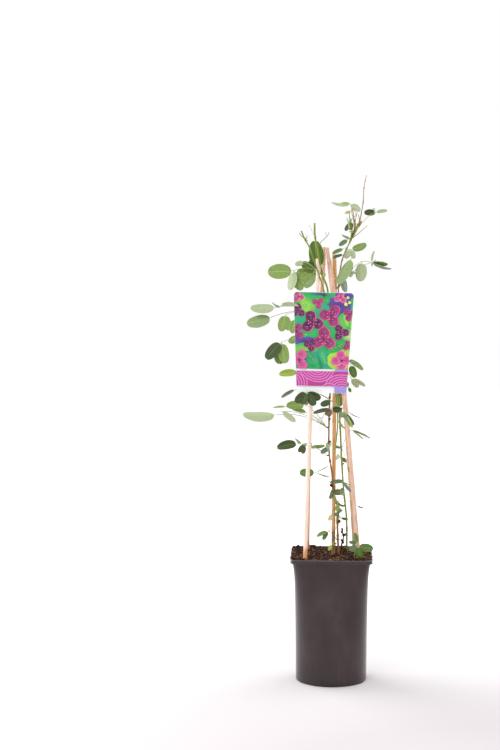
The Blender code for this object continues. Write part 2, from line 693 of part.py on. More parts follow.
def leaf_hub(place, collection):
    """The small swelling at a stalk's end that the leaflets grow from."""
    bm = bmesh.new()
    bmesh.ops.create_icosphere(bm, subdivisions=1, radius=HUB_RADIUS, matrix=Matrix.Translation(place))
    return mesh_object("leaf_hub", bm, collection)


def stalk_path(start, hub):
    """A leaf stalk's path: it leaves the spur, bows upward and comes to the hub."""
    stalk = hub - start
    rise = Vector((0.0, 0.0, stalk.length * STALK_SAG))
    return [start + stalk * share + rise * 4 * share * (1 - share)
            for share in (step / STALK_STEPS for step in range(STALK_STEPS + 1))]


def blocked(pieces, obstacles):
    """Tell whether any piece crosses an obstacle or comes closer than the gap."""
    for piece in pieces:
        bm = bmesh.new()
        bm.from_mesh(piece.data)
        bm.transform(piece.matrix_world)
        tree = BVHTree.FromBMesh(bm)
        places = [vert.co.copy() for vert in bm.verts]
        bm.free()
        for obstacle in obstacles:
            if obstacle.overlap(tree):
                return True
            if any(obstacle.find_nearest(place, GAP)[0] is not None for place in places):
                return True
    return False


def make_leaf(root, hub, leaflets, obstacles, collection):
    """A leaf on its stalk, moved backward or forward until it stands clear."""
    for trial in range(SHIFT_TRIES):
        shift = SHIFT_STEP * ((trial + 1) // 2) * (1 if trial % 2 else -1)
        place = hub + Vector((0.0, shift, 0.0))
        path = stalk_path(root, place)
        pieces = [tube("leaf_stalk", path, [STALK_RADIUS] * len(path), collection, 0)]
        pieces.append(leaf_hub(place, collection))
        pieces += [leaflet_blade(place, leaflet, collection) for leaflet in leaflets]
        if not blocked(pieces, obstacles):
            return pieces
        for piece in pieces:
            bpy.data.objects.remove(piece)
    return []


def make_spur(limb, height, hubs, obstacles, collection):
    """The short spur that carries a mass, on the clear side of its stem."""
    centre, radius = limb.at_height(height)
    middle = sum(hubs, Vector()) / len(hubs)
    wish = math.atan2(middle.y - centre.y, middle.x - centre.x)
    for turn in SPUR_TURNS:
        angle = wish + math.radians(turn)
        outward = Vector((math.cos(angle), math.sin(angle), 0.0))
        start = centre + outward * (radius + GAP)
        end = start + outward * SPUR_LENGTH
        spur = tube("spur", [start, end], [SPUR_RADIUS] * 2, collection, 1)
        if not blocked([spur], obstacles):
            return spur, end - outward * SPUR_RADIUS
        bpy.data.objects.remove(spur)
    return None, None


def make_mass(name, stem_name, height, leaves, limbs, obstacles, collection):
    """One foliage mass: a spur, its leaves and their stalks, fused into one body."""
    hubs = [Vector(hub) * MM for hub, _ in leaves]
    spur, root = make_spur(limbs[stem_name], height * MM, hubs, obstacles, collection)
    pieces = [spur]
    for hub, (_, leaflets) in zip(hubs, leaves):
        pieces += make_leaf(root, hub, leaflets, obstacles, collection)
    return finish_piece(fuse(name, pieces, collection), "foliage")


def back_leaves(limb, height, source):
    """Leaves round the hidden side of a stem: hubs on an arc, leaflets in a fan."""
    centre, _ = limb.at_height(height * MM)
    leaves = []
    for index in range(BACK_LEAVES):
        share = index / (BACK_LEAVES - 1)
        plan = math.radians(BACK_ARC[0] + (BACK_ARC[1] - BACK_ARC[0]) * share)
        reach = BACK_REACH * source.uniform(0.75, 1.1)
        hub = (centre.x / MM + reach * math.cos(plan), centre.y / MM + reach * math.sin(plan),
               height + BACK_RISE * source.uniform(-1.0, 1.6))
        first = source.uniform(0, 360)
        leaflets = tuple((first + 360 / BACK_LEAFLETS * fan, BACK_LEAFLET_LENGTH * source.uniform(0.75, 1.1),
                          source.uniform(-30, 30), source.uniform(-45, 10)) for fan in range(BACK_LEAFLETS))
        leaves.append((hub, leaflets))
    return leaves


def make_stems(collection, canes):
    """The climbing stems and shoots, each clear of the canes and of those before it."""
    limbs = {}
    for name in STEMS:
        limbs[name] = stem_limb(name, [*canes.values(), *limbs.values()])
    for name, limb in limbs.items():
        stem = tube(name, limb.points, limb.radii, collection, 1)
        if name == "top_shoot":
            bm = bmesh.new()
            bud_place = limb.points[1] + Vector((BUD_RADIUS * 0.6, 0.0, 0.0))
            shape = Matrix.Translation(bud_place) @ Matrix.Diagonal((0.9, 0.8, 1.2, 1.0))
            bmesh.ops.create_icosphere(bm, subdivisions=1, radius=BUD_RADIUS, matrix=shape)
            stem = fuse(name, [stem, mesh_object("bud", bm, collection)], collection)
        finish_piece(stem, name, smooth=True)
    return limbs


def obstacle_tree(item):
    """A search tree of an object's evaluated mesh in world space."""
    mesh = evaluated_mesh(item)
    bm = bmesh.new()
    bm.from_mesh(mesh)
    bm.transform(item.matrix_world)
    tree = BVHTree.FromBMesh(bm)
    bm.free()
    bpy.data.meshes.remove(mesh)
    return tree


def build():
    """Build the pot, its canes and the whole plant."""
    clear_scene()
    collection = make_collection("potted_climbing_vine")
    cutters = make_collection("cutters")
    canes = {name: cane_limb(stations) for name, stations in CANES.items()}
    for name, limb in canes.items():
        finish_piece(tube(name, limb.points, limb.radii, collection), "cane", smooth=True)
    stems = make_stems(collection, canes)
    make_pot(collection)
    make_soil(collection, cutters, canes, stems)
    frame = label_frame(canes["cane_front_left"])
    make_label(collection, frame)
    make_label_tie(collection, frame, stems["cross_stem"])
    source = random.Random(SEED)
    masses = dict(MASSES)
    for name, (stem, height) in BACK_MASSES.items():
        masses[name] = (stem, height, back_leaves(stems[stem], height, source))
    obstacles = [obstacle_tree(item) for item in collection.objects]
    for name, (stem, height, leaves) in masses.items():
        mass = make_mass(name, stem, height, leaves, stems, obstacles, collection)
        obstacles.append(obstacle_tree(mass))


build()
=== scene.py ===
import json
import math
import random

import bmesh
import bpy
from mathutils import Matrix, Vector, noise
from mathutils.kdtree import KDTree

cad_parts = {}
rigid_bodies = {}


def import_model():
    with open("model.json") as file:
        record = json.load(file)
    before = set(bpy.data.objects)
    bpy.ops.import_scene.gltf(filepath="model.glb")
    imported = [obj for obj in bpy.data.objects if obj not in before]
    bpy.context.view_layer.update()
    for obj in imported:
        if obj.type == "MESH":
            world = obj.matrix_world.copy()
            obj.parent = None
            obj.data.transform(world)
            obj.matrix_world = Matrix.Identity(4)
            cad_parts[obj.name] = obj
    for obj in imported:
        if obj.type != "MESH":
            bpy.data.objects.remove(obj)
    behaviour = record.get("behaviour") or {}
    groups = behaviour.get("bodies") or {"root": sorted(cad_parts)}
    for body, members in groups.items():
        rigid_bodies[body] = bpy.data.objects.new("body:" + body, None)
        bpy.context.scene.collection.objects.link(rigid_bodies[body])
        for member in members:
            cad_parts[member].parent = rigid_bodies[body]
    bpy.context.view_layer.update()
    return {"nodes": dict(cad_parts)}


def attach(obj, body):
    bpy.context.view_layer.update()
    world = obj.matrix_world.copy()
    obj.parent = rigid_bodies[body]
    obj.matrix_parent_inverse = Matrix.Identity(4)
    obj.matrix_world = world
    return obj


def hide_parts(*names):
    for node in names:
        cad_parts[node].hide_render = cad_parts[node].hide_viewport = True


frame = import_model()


# ---------------------------------------------------------------- The pot
# A deep growing pot of recycled black polypropylene: a square rim, and corners that run
# out into a round foot. It is injection moulded in one piece with a turned-out rim, and
# its satin skin keeps faint upright draw lines and a little dust.

POT_HEIGHT = 0.2155
POT_TURN = math.radians(-2.6)  # the square top stands slightly turned about Z
POT_CORNER_RADIUS = 0.0100
POT_FOOT_RADIUS = 0.0598
POT_SQUARING = 1.8  # the section turns square mostly near the top: a power of the height
POT_LEAN = 0.0019  # the straight sides lean out by this from foot to shoulder
POT_FLARE = 0.0032  # and flare out by this much more under the rim
POT_FLARE_POWER = 12
POT_WALL = 0.0015
POT_FLOOR = 0.0020
FOOT_ROUNDING = 0.0020
FOOT_FACE_ANGLE = math.radians(6)  # half the arc of the foot that a flat side runs into
RIM_HEIGHT = 0.0070
RIM_OVERHANG = 0.0042
RIM_ROUNDING = 0.0010
RIM_LIP = 0.0022  # width of the rim's top
RIM_LEDGE = 0.0015  # the inside steps out this far above the shoulder
RIM_BEAD = 0.0017  # the rim's top stands out as a bead this high
BEAD_OUT = 0.0007
POT_CORNER_STEPS = 12
POT_SIDE_STEPS = 6
POT_LEVELS = 30
SOIL_LEVEL = 0.2130
DRAIN_HOLES = 8
DRAIN_CIRCLE = 0.044
DRAIN_RADIUS = 0.005
DRILL_LENGTH = 0.012
BASE_BORDER = 0.0040  # the base's rim, before it slopes up to the recess
BASE_SLOPE = 0.0010
BASE_RECESS = 0.0012
POT_SMOOTH = 35  # degrees


def linear(code):
    """An sRGB hex colour as linear red, green, blue and alpha."""
    shares = [int(code[place:place + 2], 16) / 255 for place in (1, 3, 5)]
    return (*[s / 12.92 if s <= 0.04045 else ((s + 0.055) / 1.055) ** 2.4 for s in shares], 1.0)


def add(tree, kind, inputs=None, **settings):
    """Add a node: its settings, and its sockets' values or the sockets that feed them."""
    item = tree.nodes.new(kind)
    for name, value in settings.items():
        setattr(item, name, value)
    for name, value in (inputs or {}).items():
        if isinstance(value, bpy.types.NodeSocket):
            tree.links.new(value, item.inputs[name])
        elif value is not None:
            item.inputs[name].default_value = value
    return item


def new_material(name, sockets):
    """A material with its shader's plain values set; returns it, its tree, shader and place."""
    material = bpy.data.materials.new(name)
    material.use_nodes = True
    tree = material.node_tree
    shader = tree.nodes["Principled BSDF"]
    for socket, value in sockets.items():
        shader.inputs[socket].default_value = value
    place = add(tree, "ShaderNodeTexCoord").outputs["Object"]
    return material, tree, shader, place


def grain(tree, place, size, stretch=(1.0, 1.0, 1.0), detail=3.0):
    """A noise whose lumps are about size across, drawn out along the axes by stretch."""
    scale = tuple(1.0 / (size * share) for share in stretch)
    spread = add(tree, "ShaderNodeMapping", {"Vector": place, "Scale": scale})
    return add(tree, "ShaderNodeTexNoise", {"Vector": spread.outputs["Vector"], "Scale": 1.0,
                                            "Detail": detail}).outputs["Fac"]


def ramp(tree, factor, stops):
    """A colour ramp between (position, hex colour) stops."""
    item = add(tree, "ShaderNodeValToRGB", {"Fac": factor})
    bar = item.color_ramp.elements
    for spare in list(bar)[1:]:
        bar.remove(spare)
    for index, (position, code) in enumerate(stops):
        stop = bar[0] if index == 0 else bar.new(position)
        stop.position = position
        stop.color = linear(code)
    return item.outputs["Color"]


def relief(tree, shader, height, depth):
    """Raise the surface by a pattern, depth metres from its lowest to its highest."""
    bump = add(tree, "ShaderNodeBump", {"Height": height, "Distance": depth, "Strength": 1.0})
    tree.links.new(bump.outputs["Normal"], shader.inputs["Normal"])


def band(tree, factor, low, high, start=0.3, end=0.7):
    """A number that runs from low to high while the factor runs from start to end."""
    return add(tree, "ShaderNodeMapRange", {"Value": factor, "From Min": start, "From Max": end,
                                            "To Min": low, "To Max": high}).outputs["Result"]


def as_piece(name, source, materials, smooth=40):
    """Make an object of a bmesh or a mesh, with its materials and smooth shading."""
    mesh = source
    if isinstance(source, bmesh.types.BMesh):
        mesh = bpy.data.meshes.new(name)
        bmesh.ops.recalc_face_normals(source, faces=source.faces)
        source.to_mesh(mesh)
        source.free()
    item = bpy.data.objects.new(name, mesh)
    bpy.context.scene.collection.objects.link(item)
    mesh.materials.clear()
    for material in materials:
        mesh.materials.append(material)
    mesh.shade_smooth()
    mesh.set_sharp_from_angle(angle=math.radians(smooth))
    return item


def made_mesh(item):
    """A plain mesh of what an object's modifiers or its curve make."""
    bpy.context.view_layer.update()
    made = item.evaluated_get(bpy.context.evaluated_depsgraph_get())
    return bpy.data.meshes.new_from_object(made)


def dress(item, slot, *nodes):
    """A finished piece rides on the plant's one body and stands for its CAD nodes."""
    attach(item, "root")
    if nodes:
        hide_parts(*nodes)
    return item


def pot_section(level, inset):
    """The pot's outline at a level: round at the foot, square with round corners at the top."""
    height = min(1.0, level / (POT_HEIGHT - RIM_HEIGHT))
    half = POT_FOOT_RADIUS + POT_LEAN * height + POT_FLARE * height ** POT_FLARE_POWER - inset
    corner = POT_CORNER_RADIUS - inset
    flat = half - corner
    outline = []
    for quarter in range(4):
        turn = Matrix.Rotation(POT_TURN + quarter * math.pi / 2, 2)
        for step in range(POT_CORNER_STEPS + POT_SIDE_STEPS):
            if step < POT_SIDE_STEPS:
                share = step / POT_SIDE_STEPS
                top = Vector((half, flat * (2 * share - 1)))
                angle = FOOT_FACE_ANGLE * (2 * share - 1)
            else:
                share = (step - POT_SIDE_STEPS) / POT_CORNER_STEPS
                turned = share * math.pi / 2
                top = Vector((flat, flat)) + corner * Vector((math.cos(turned), math.sin(turned)))
                angle = FOOT_FACE_ANGLE + share * (math.pi / 2 - 2 * FOOT_FACE_ANGLE)
            foot = half * Vector((math.cos(angle), math.sin(angle)))
            outline.append(turn @ foot.lerp(top, height ** POT_SQUARING))
    return outline


def loft(bm, sections):
    """Skin a stack of (outline, level) sections, and return their rings of corners."""
    rings = [[bm.verts.new((*point, level)) for point in outline] for outline, level in sections]
    count = len(rings[0])
    for lower, upper in zip(rings, rings[1:]):
        for index in range(count):
            after = (index + 1) % count
            bm.faces.new((lower[index], lower[after], upper[after], upper[index]))
    return rings


def pot_profile():
    """Levels and insets from the foot up the outside, over the rim and down the inside."""
    shoulder = POT_HEIGHT - RIM_HEIGHT
    out = RIM_OVERHANG
    lip = RIM_LIP - RIM_OVERHANG
    soft = RIM_ROUNDING
    foot = [(FOOT_ROUNDING * (1 - math.cos(turn)), FOOT_ROUNDING * (1 - math.sin(turn)))
            for turn in (math.radians(angle) for angle in (0, 22, 45, 67, 90))]
    climb = shoulder - FOOT_ROUNDING
    levels = [FOOT_ROUNDING + climb * step / POT_LEVELS for step in range(1, POT_LEVELS)]
    outside = foot + [(level, 0.0) for level in levels]
    rim = [(shoulder - soft * 0.7, 0.0), (shoulder - soft * 0.1, -soft * 0.3), (shoulder, -soft),
           (shoulder, soft * 0.6 - out), (shoulder + soft * 0.25, soft * 0.2 - out),
           (shoulder + soft, BEAD_OUT * 0.4 - out), (POT_HEIGHT - RIM_BEAD - soft, BEAD_OUT - out),
           (POT_HEIGHT - RIM_BEAD, BEAD_OUT - out), (POT_HEIGHT - RIM_BEAD * 0.8, -out),
           (POT_HEIGHT - soft, -out), (POT_HEIGHT - soft * 0.25, soft * 0.3 - out),
           (POT_HEIGHT, soft * 0.8 - out), (POT_HEIGHT, lip - soft * 0.6),
           (POT_HEIGHT - soft * 0.25, lip - soft * 0.2), (POT_HEIGHT - soft, lip),
           (shoulder + RIM_LEDGE, lip), (shoulder + RIM_LEDGE, POT_WALL)]
    inside = [(level, POT_WALL) for level in reversed(levels[::2])]
    return outside + rim + inside + [(POT_FLOOR, POT_WALL)]


def make_pot(material):
    """The moulded shell, its recessed base and its drain holes."""
    bm = bmesh.new()
    rings = loft(bm, [(pot_section(level, inset), level) for level, inset in pot_profile()])
    bm.faces.new(rings[-1])
    base = bm.faces.new(rings[0])
    bmesh.ops.inset_region(bm, faces=[base], thickness=BASE_BORDER, depth=0.0)
    bmesh.ops.inset_region(bm, faces=[base], thickness=BASE_SLOPE, depth=-BASE_RECESS)
    pot = as_piece("growing_pot", bm, [material], smooth=POT_SMOOTH)
    drill = bmesh.new()
    for hole in range(DRAIN_HOLES):
        angle = math.tau * (hole + 0.5) / DRAIN_HOLES
        x, y = DRAIN_CIRCLE * math.cos(angle), DRAIN_CIRCLE * math.sin(angle)
        bmesh.ops.create_cone(drill, cap_ends=True, segments=20, depth=DRILL_LENGTH,
                              radius1=DRAIN_RADIUS, radius2=DRAIN_RADIUS,
                              matrix=Matrix.Translation((x, y, 0.0)))
    cutter = as_piece("drain_drill", drill, [])
    cut = pot.modifiers.new("Drain holes", "BOOLEAN")
    cut.object = cutter
    cut.solver = "EXACT"
    mesh = made_mesh(pot)
    pot.modifiers.clear()
    pot.data = mesh
    mesh.set_sharp_from_angle(angle=math.radians(POT_SMOOTH))
    bpy.data.objects.remove(cutter)
    return pot


# Moulded polypropylene: charcoal with a warm cast, an even satin with a fine grain. Cloudy
# patches of dust and the upright draw lines break up its reflections.
pot_plastic, tree, shader, place = new_material("moulded polypropylene, satin",
                                                {"IOR": 1.49, "Specular IOR Level": 0.38})
cloud = grain(tree, place, 0.045, (1.0, 1.0, 1.6))
lines = grain(tree, place, 0.0022, (1.0, 1.0, 60.0), 2.0)
fine = grain(tree, place, 0.0006, detail=2.0)
tone = add(tree, "ShaderNodeMath", {0: cloud, 1: band(tree, lines, -0.04, 0.04)}, operation="ADD")
colour = ramp(tree, tone.outputs[0], ((0.30, "#2E2425"), (0.55, "#382C2E"), (0.75, "#423538")))
# The rim's top bead is painted a paler grey: a painted highlight along the lip's rounded top edge.
level = add(tree, "ShaderNodeSeparateXYZ", {0: place}).outputs["Z"]
rim_highlight_mask = add(tree, "ShaderNodeMapRange",
             {"Value": level, 1: POT_HEIGHT - RIM_BEAD, 2: POT_HEIGHT - 0.0004})
rim_highlight_mix = add(tree, "ShaderNodeMix",
           {"Factor": rim_highlight_mask.outputs[0], "A": colour, "B": linear("#5C5458")}, data_type="RGBA")
tree.links.new(rim_highlight_mix.outputs["Result"], shader.inputs["Base Color"])
tree.links.new(band(tree, cloud, 0.19, 0.23), shader.inputs["Roughness"])
height = add(tree, "ShaderNodeMath", {0: band(tree, lines, 0.0, 0.3), 1: fine}, operation="ADD")
relief(tree, shader, height.outputs[0], 0.00005)

dress(make_pot(pot_plastic), "pot_plastic", "pot")


# ---------------------------------------------------------------- The soil
# Moist peat and coir, filled to just under the rim and level with it at the wall: a dark
# crumbly surface of clods and crumbs, with short coir strands lying on top.

SOIL_DEPTH = 0.06
SOIL_GRID = 72
SOIL_LUMP = 0.0056
SOIL_REACH = 0.0660  # from the middle to the wall
SOIL_HEAP = 0.0022  # the soil stands this much higher where it meets the wall
CLODS = 420
CRUMBS = 1500
COIR_STRANDS = 440
PEAT_STRANDS = 660
LITTER_REACH = 0.965  # the litter keeps to this share of the way out to the rim
LITTER_RINGS = 24
LITTER_LIFT = 0.0002
STRAND_RINGS = 6
STRAND_WIDTH = 0.046  # a share of the strand's length


def geometry_tree(name, sockets):
    """A geometry tree with named inputs; returns it with its input and output nodes."""
    tree = bpy.data.node_groups.new(name, "GeometryNodeTree")
    tree.interface.new_socket("Geometry", in_out="INPUT", socket_type="NodeSocketGeometry")
    tree.interface.new_socket("Geometry", in_out="OUTPUT", socket_type="NodeSocketGeometry")
    for label, kind in sockets:
        tree.interface.new_socket(label, in_out="INPUT", socket_type="NodeSocket" + kind)
    return tree, add(tree, "NodeGroupInput"), add(tree, "NodeGroupOutput")


def grow(name, source, tree, values, smooth=60):
    """Run a geometry tree on a mesh and keep what it makes as a plain mesh piece."""
    item = bpy.data.objects.new(name, source)
    bpy.context.scene.collection.objects.link(item)
    build = item.modifiers.new("Build", "NODES")
    build.node_group = tree
    for socket in tree.interface.items_tree:
        if socket.in_out == "INPUT" and socket.name in values:
            build[socket.identifier] = values[socket.name]
    mesh = made_mesh(item)
    item.modifiers.clear()
    item.data = mesh
    mesh.name = name
    mesh.set_sharp_from_angle(angle=math.radians(smooth))
    return item


def soil_height(x, y):
    """Height of the soil's surface: heaped to the wall, with swells, clods and crumbs."""
    spot = Vector((x, y, 0.0))
    swell = noise.noise(spot / 0.022)
    clod = abs(noise.noise(spot / 0.0085 + Vector((3.1, 0.0, 0.0))))
    crumb = noise.noise(spot / 0.0025)
    out = (abs(x) ** 4 + abs(y) ** 4) ** 0.25 / SOIL_REACH
    lumps = 0.35 * swell + 0.75 * clod + 0.22 * crumb - 0.25
    return SOIL_LEVEL + SOIL_HEAP * out ** 3 + SOIL_LUMP * lumps


def make_soil(material):
    """The plug of soil: rings that close in from the pot's wall to the middle."""
    gap = 0.0003
    ledge = POT_HEIGHT - RIM_HEIGHT + RIM_LEDGE + gap
    inset = RIM_LIP - RIM_OVERHANG + gap
    brim = pot_section(SOIL_LEVEL, inset)
    bm = bmesh.new()
    sections = [(pot_section(level, POT_WALL + gap), level)
                for level in (ledge - SOIL_DEPTH, ledge - 0.03, ledge - 0.015, ledge - 0.008,
                              ledge)]
    sections += [(pot_section(level, inset), level) for level in (ledge, SOIL_LEVEL - 0.001)]
    plug = len(sections)
    sections += [([point * (1 - ring / SOIL_GRID) for point in brim], SOIL_LEVEL)
                 for ring in range(SOIL_GRID)]
    rings = loft(bm, sections)
    bm.faces.new(rings[0])
    bm.faces.new(rings[-1])
    for ring in rings[plug:]:
        for vert in ring:
            vert.co.z = soil_height(vert.co.x, vert.co.y)
    return as_piece("soil_plug", bm, [material], smooth=80)


def scatter_tree(name, lift):
    """Instances of one shape strewn over a surface, turned and sized at random."""
    sockets = (("Count", "Float"), ("Seed", "Int"), ("Smallest", "Float"), ("Largest", "Float"),
               ("Shape", "Object"), ("Tilt", "Float"), ("Finish", "Material"))
    tree, given, made = geometry_tree(name, sockets)
    feed = given.outputs
    strewn = add(tree, "GeometryNodeDistributePointsOnFaces",
                 {"Mesh": feed["Geometry"], "Density": feed["Count"], "Seed": feed["Seed"]})
    size = add(tree, "FunctionNodeRandomValue",
               {2: feed["Smallest"], 3: feed["Largest"], "Seed": feed["Seed"]}).outputs[1]
    lean = add(tree, "ShaderNodeCombineXYZ",
               {"X": feed["Tilt"], "Y": feed["Tilt"], "Z": math.pi}).outputs[0]
    back = add(tree, "ShaderNodeVectorMath", {0: lean, "Scale": -1.0}, operation="SCALE").outputs[0]
    turn = add(tree, "FunctionNodeRandomValue", {0: back, 1: lean, "Seed": feed["Seed"]},
               data_type="FLOAT_VECTOR").outputs[0]
    shape = add(tree, "GeometryNodeObjectInfo", {"Object": feed["Shape"]}).outputs["Geometry"]
    set_out = add(tree, "GeometryNodeInstanceOnPoints",
                  {"Points": strewn.outputs["Points"], "Instance": shape, "Rotation": turn,
                   "Scale": size})
    raised = add(tree, "GeometryNodeTranslateInstances",
                 {"Instances": set_out.outputs[0], "Translation": (0.0, 0.0, lift)})
    solid = add(tree, "GeometryNodeRealizeInstances", {"Geometry": raised.outputs[0]}).outputs[0]
    even = add(tree, "GeometryNodeSetShadeSmooth", {"Geometry": solid}).outputs[0]
    done = add(tree, "GeometryNodeSetMaterial", {"Geometry": even, "Material": feed["Finish"]})
    tree.links.new(done.outputs[0], made.inputs[0])
    return tree


def soil_material(name, stops, roughness):
    """Damp organic matter: a mottled colour, hardly any gloss."""
    material, tree, shader, place = new_material(name, {"Roughness": roughness,
                                                        "Specular IOR Level": 0.25})
    mottle = grain(tree, place, 0.0028, detail=5.0)
    tree.links.new(ramp(tree, mottle, stops), shader.inputs["Base Color"])
    relief(tree, shader, grain(tree, place, 0.0008), 0.0006)
    return material


# Peat is nearly black and dull while it is wet, and its clods turn reddish brown as they
# dry. Coir is shredded coconut husk, a paler fibre.
# The moist peat's near-black lowest stop is partly its own wet colour and partly painted shade:
# dark patches that stand for the shaded gaps between crumbs.
peat = soil_material("moist peat", ((0.40, "#050302"), (0.5, "#160B07"), (0.62, "#4A2E20")), 0.95)
peat_clod = soil_material("peat clod", ((0.35, "#180C07"), (0.5, "#3E2417"), (0.65, "#704835")),
                          0.95)
coir = soil_material("coir strand", ((0.3, "#5A382A"), (0.5, "#855A42"), (0.7, "#A87C60")), 0.9)
dress(make_soil(peat), "soil", "soil")

# The litter lies on a smaller copy of the surface, so nothing pokes through the wall.
bm = bmesh.new()
reach = [point * LITTER_REACH for point in pot_section(SOIL_LEVEL, RIM_LIP - RIM_OVERHANG)]
rings = loft(bm, [([point * (1 - ring / LITTER_RINGS) for point in reach], 0.0)
                  for ring in range(LITTER_RINGS)])
bm.faces.new(rings[-1])
for vert in bm.verts:
    vert.co.z = soil_height(vert.co.x, vert.co.y)
bmesh.ops.recalc_face_normals(bm, faces=bm.faces)
litter_ground = bpy.data.meshes.new("litter_ground")
bm.to_mesh(litter_ground)
bm.free()
soil_area = sum(face.area for face in litter_ground.polygons)

# A clod or crumb is a lumpy ball, and a strand a bent three-sided sliver. Both are a metre
# long before they are sized.
bm = bmesh.new()
bmesh.ops.create_icosphere(bm, subdivisions=1, radius=1.0)
for vert in bm.verts:
    vert.co *= 1.0 + 0.45 * noise.noise(vert.co * 1.7)
    vert.co.z *= 0.7
crumb_shape = as_piece("crumb_shape", bm, [])
bm = bmesh.new()
strand_rings = []
for station in range(STRAND_RINGS):
    share = station / (STRAND_RINGS - 1)
    middle = Vector((share - 0.5, 0.16 * math.sin(share * 5.0), 0.10 * math.sin(share * 3.1)))
    width = STRAND_WIDTH * (0.5 + math.sin(math.pi * share))
    spokes = [Vector((0.0, math.cos(turn), math.sin(turn)))
              for turn in (0.0, math.tau / 3, 2 * math.tau / 3)]
    strand_rings.append([bm.verts.new(middle + width * spoke) for spoke in spokes])
for lower, upper in zip(strand_rings, strand_rings[1:]):
    for side in range(3):
        bm.faces.new((lower[side], lower[(side + 1) % 3], upper[(side + 1) % 3], upper[side]))
bm.faces.new(strand_rings[0])
bm.faces.new(strand_rings[-1])
strand_shape = as_piece("strand_shape", bm, [])

scatter = scatter_tree("soil litter", LITTER_LIFT)
for name, shape, count, seed, small, large, tilt, finish in (
    ("soil_clods", crumb_shape, CLODS, 3, 0.0018, 0.0044, 1.0, peat),
    ("soil_crumbs", crumb_shape, CRUMBS, 5, 0.0006, 0.0019, 1.0, peat_clod),
    ("coir_strands", strand_shape, COIR_STRANDS, 7, 0.006, 0.015, 0.30, coir),
    ("peat_strands", strand_shape, PEAT_STRANDS, 11, 0.006, 0.015, 0.35, peat_clod),
):
    values = {"Count": count / soil_area, "Seed": seed, "Smallest": small, "Largest": large,
              "Shape": shape, "Tilt": tilt, "Finish": finish}
    dress(grow(name, litter_ground.copy(), scatter, values), "soil")
for spare in (crumb_shape, strand_shape):
    bpy.data.objects.remove(spare)


# ---------------------------------------------------------------- The canes
# Five canes not quite 7 mm thick, pushed into the soil, four at the corners and one in the
# middle, leaning together at the top and sawn off square. The outer four are split and
# rounded, pale and pinkish; the middle one keeps its knots, and its foot has gone brown.

MM = 0.001
CANE_RADIUS = 0.0030
SOCKET_DEPTH = 0.035
# the places that each cane passes, in millimetres, from the soil up
CANES = {
    "cane_front_left": ((-46, -47, 213), (-37, -29, 479), (-26, -16, 661), (-25, -12, 713)),
    "cane_back_left": ((-39, 47, 213), (-34, 33, 473), (-17, 19, 660), (-13, 14, 732)),
    "cane_front_right": ((44, -46, 213), (21, -27, 478), (1, -14, 661), (-6, -10, 713)),
    "cane_back_right": ((42, 47, 213), (22, 30, 473), (0, 13, 660), (-9, 6, 731)),
    "cane_middle": ((3, -2, 213), (4, -1, 476), (4, 0, 660), (3, 0, 720)),
}
CANE_STEPS = 3
CANE_GIRTH = 1.12  # the wood is this much fuller than its plain rod
CANE_RELIEF = 0.00022
MIDDLE_KNOTS = (0.2588, 0.4404, 0.6150)  # heights of the middle cane's knots
MIDDLE_SWELL = 0.20
MIDDLE_RELIEF = 0.0005
KNOT_SPREAD = 0.0022
CUT_EDGE = 0.0004  # the sawn tip's edge is worn over this height
CUT_WEAR = 0.86
FINE_STEP = 0.0016  # spacing of the rings on canes and stems
FINE_TRIES = 24  # steps between two stations that the rings are picked from


def spline_points(stations, steps):
    """Run a smooth curve through the stations, with a number of steps between two."""
    ends = [stations[0] * 2 - stations[1], *stations, stations[-1] * 2 - stations[-2]]
    points = []
    for index in range(1, len(stations)):
        before, start, end, after = ends[index - 1:index + 3]
        for step in range(steps):
            t = step / steps
            points.append(0.5 * (2 * start + (end - before) * t
                                 + (2 * before - 5 * start + 4 * end - after) * t * t
                                 + (3 * start - before - 3 * end + after) * t * t * t))
    points.append(stations[-1])
    return points


class Limb:
    """The centre line and radii of a cane or a stem."""

    def __init__(self, points, radii):
        self.points = points
        self.radii = radii

    def nearest(self, place):
        """Return the distance to the centre line, its nearest point and the radius there."""
        best = None
        for index in range(len(self.points) - 1):
            start, end = self.points[index], self.points[index + 1]
            along = end - start
            t = max(0.0, min(1.0, (place - start).dot(along) / along.length_squared))
            point = start + along * t
            distance = (place - point).length
            if best is None or distance < best[0]:
                best = (distance, point, self.radii[index] * (1 - t) + self.radii[index + 1] * t)
        return best

    def at_height(self, height):
        """Return the centre line's point and the radius at a height."""
        for index in range(len(self.points) - 1):
            start, end = self.points[index], self.points[index + 1]
            if start.z <= height <= end.z:
                t = (height - start.z) / (end.z - start.z)
                return start.lerp(end, t), self.radii[index] * (1 - t) + self.radii[index + 1] * t
        return self.points[-1], self.radii[-1]

    def fine(self, knots=(), swell=0.0):
        """The same line with close rings, thickened round its knots."""
        stations = [Vector((*point, radius)) for point, radius in zip(self.points, self.radii)]
        last = FINE_TRIES * (len(stations) - 1)
        curve = []
        for index, station in enumerate(spline_points(stations, FINE_TRIES)):
            far = not curve or (station.xyz - curve[-1].xyz).length > FINE_STEP
            if far or index == last:
                curve.append(station)
        radii = []
        for station in curve:
            near = min([abs(station.z - knot) / KNOT_SPREAD for knot in knots], default=9.0)
            radii.append(station.w * (1.0 + swell * math.exp(-near * near)))
        return [station.xyz for station in curve], radii


def lines_mesh(name, lines):
    """A mesh of loose lines that carries each point's girth and each line's tone."""
    mesh = bpy.data.meshes.new(name)
    points, edges, girths, tones = [], [], [], []
    for path, radii, tone in lines:
        edges += [(len(points) + step, len(points) + step + 1) for step in range(len(path) - 1)]
        points += path
        girths += radii
        tones += [tone] * len(path)
    mesh.from_pydata(points, edges, [])
    mesh.attributes.new("girth", "FLOAT", "POINT").data.foreach_set("value", girths)
    mesh.attributes.new("tone", "INT", "POINT").data.foreach_set("value", tones)
    return mesh


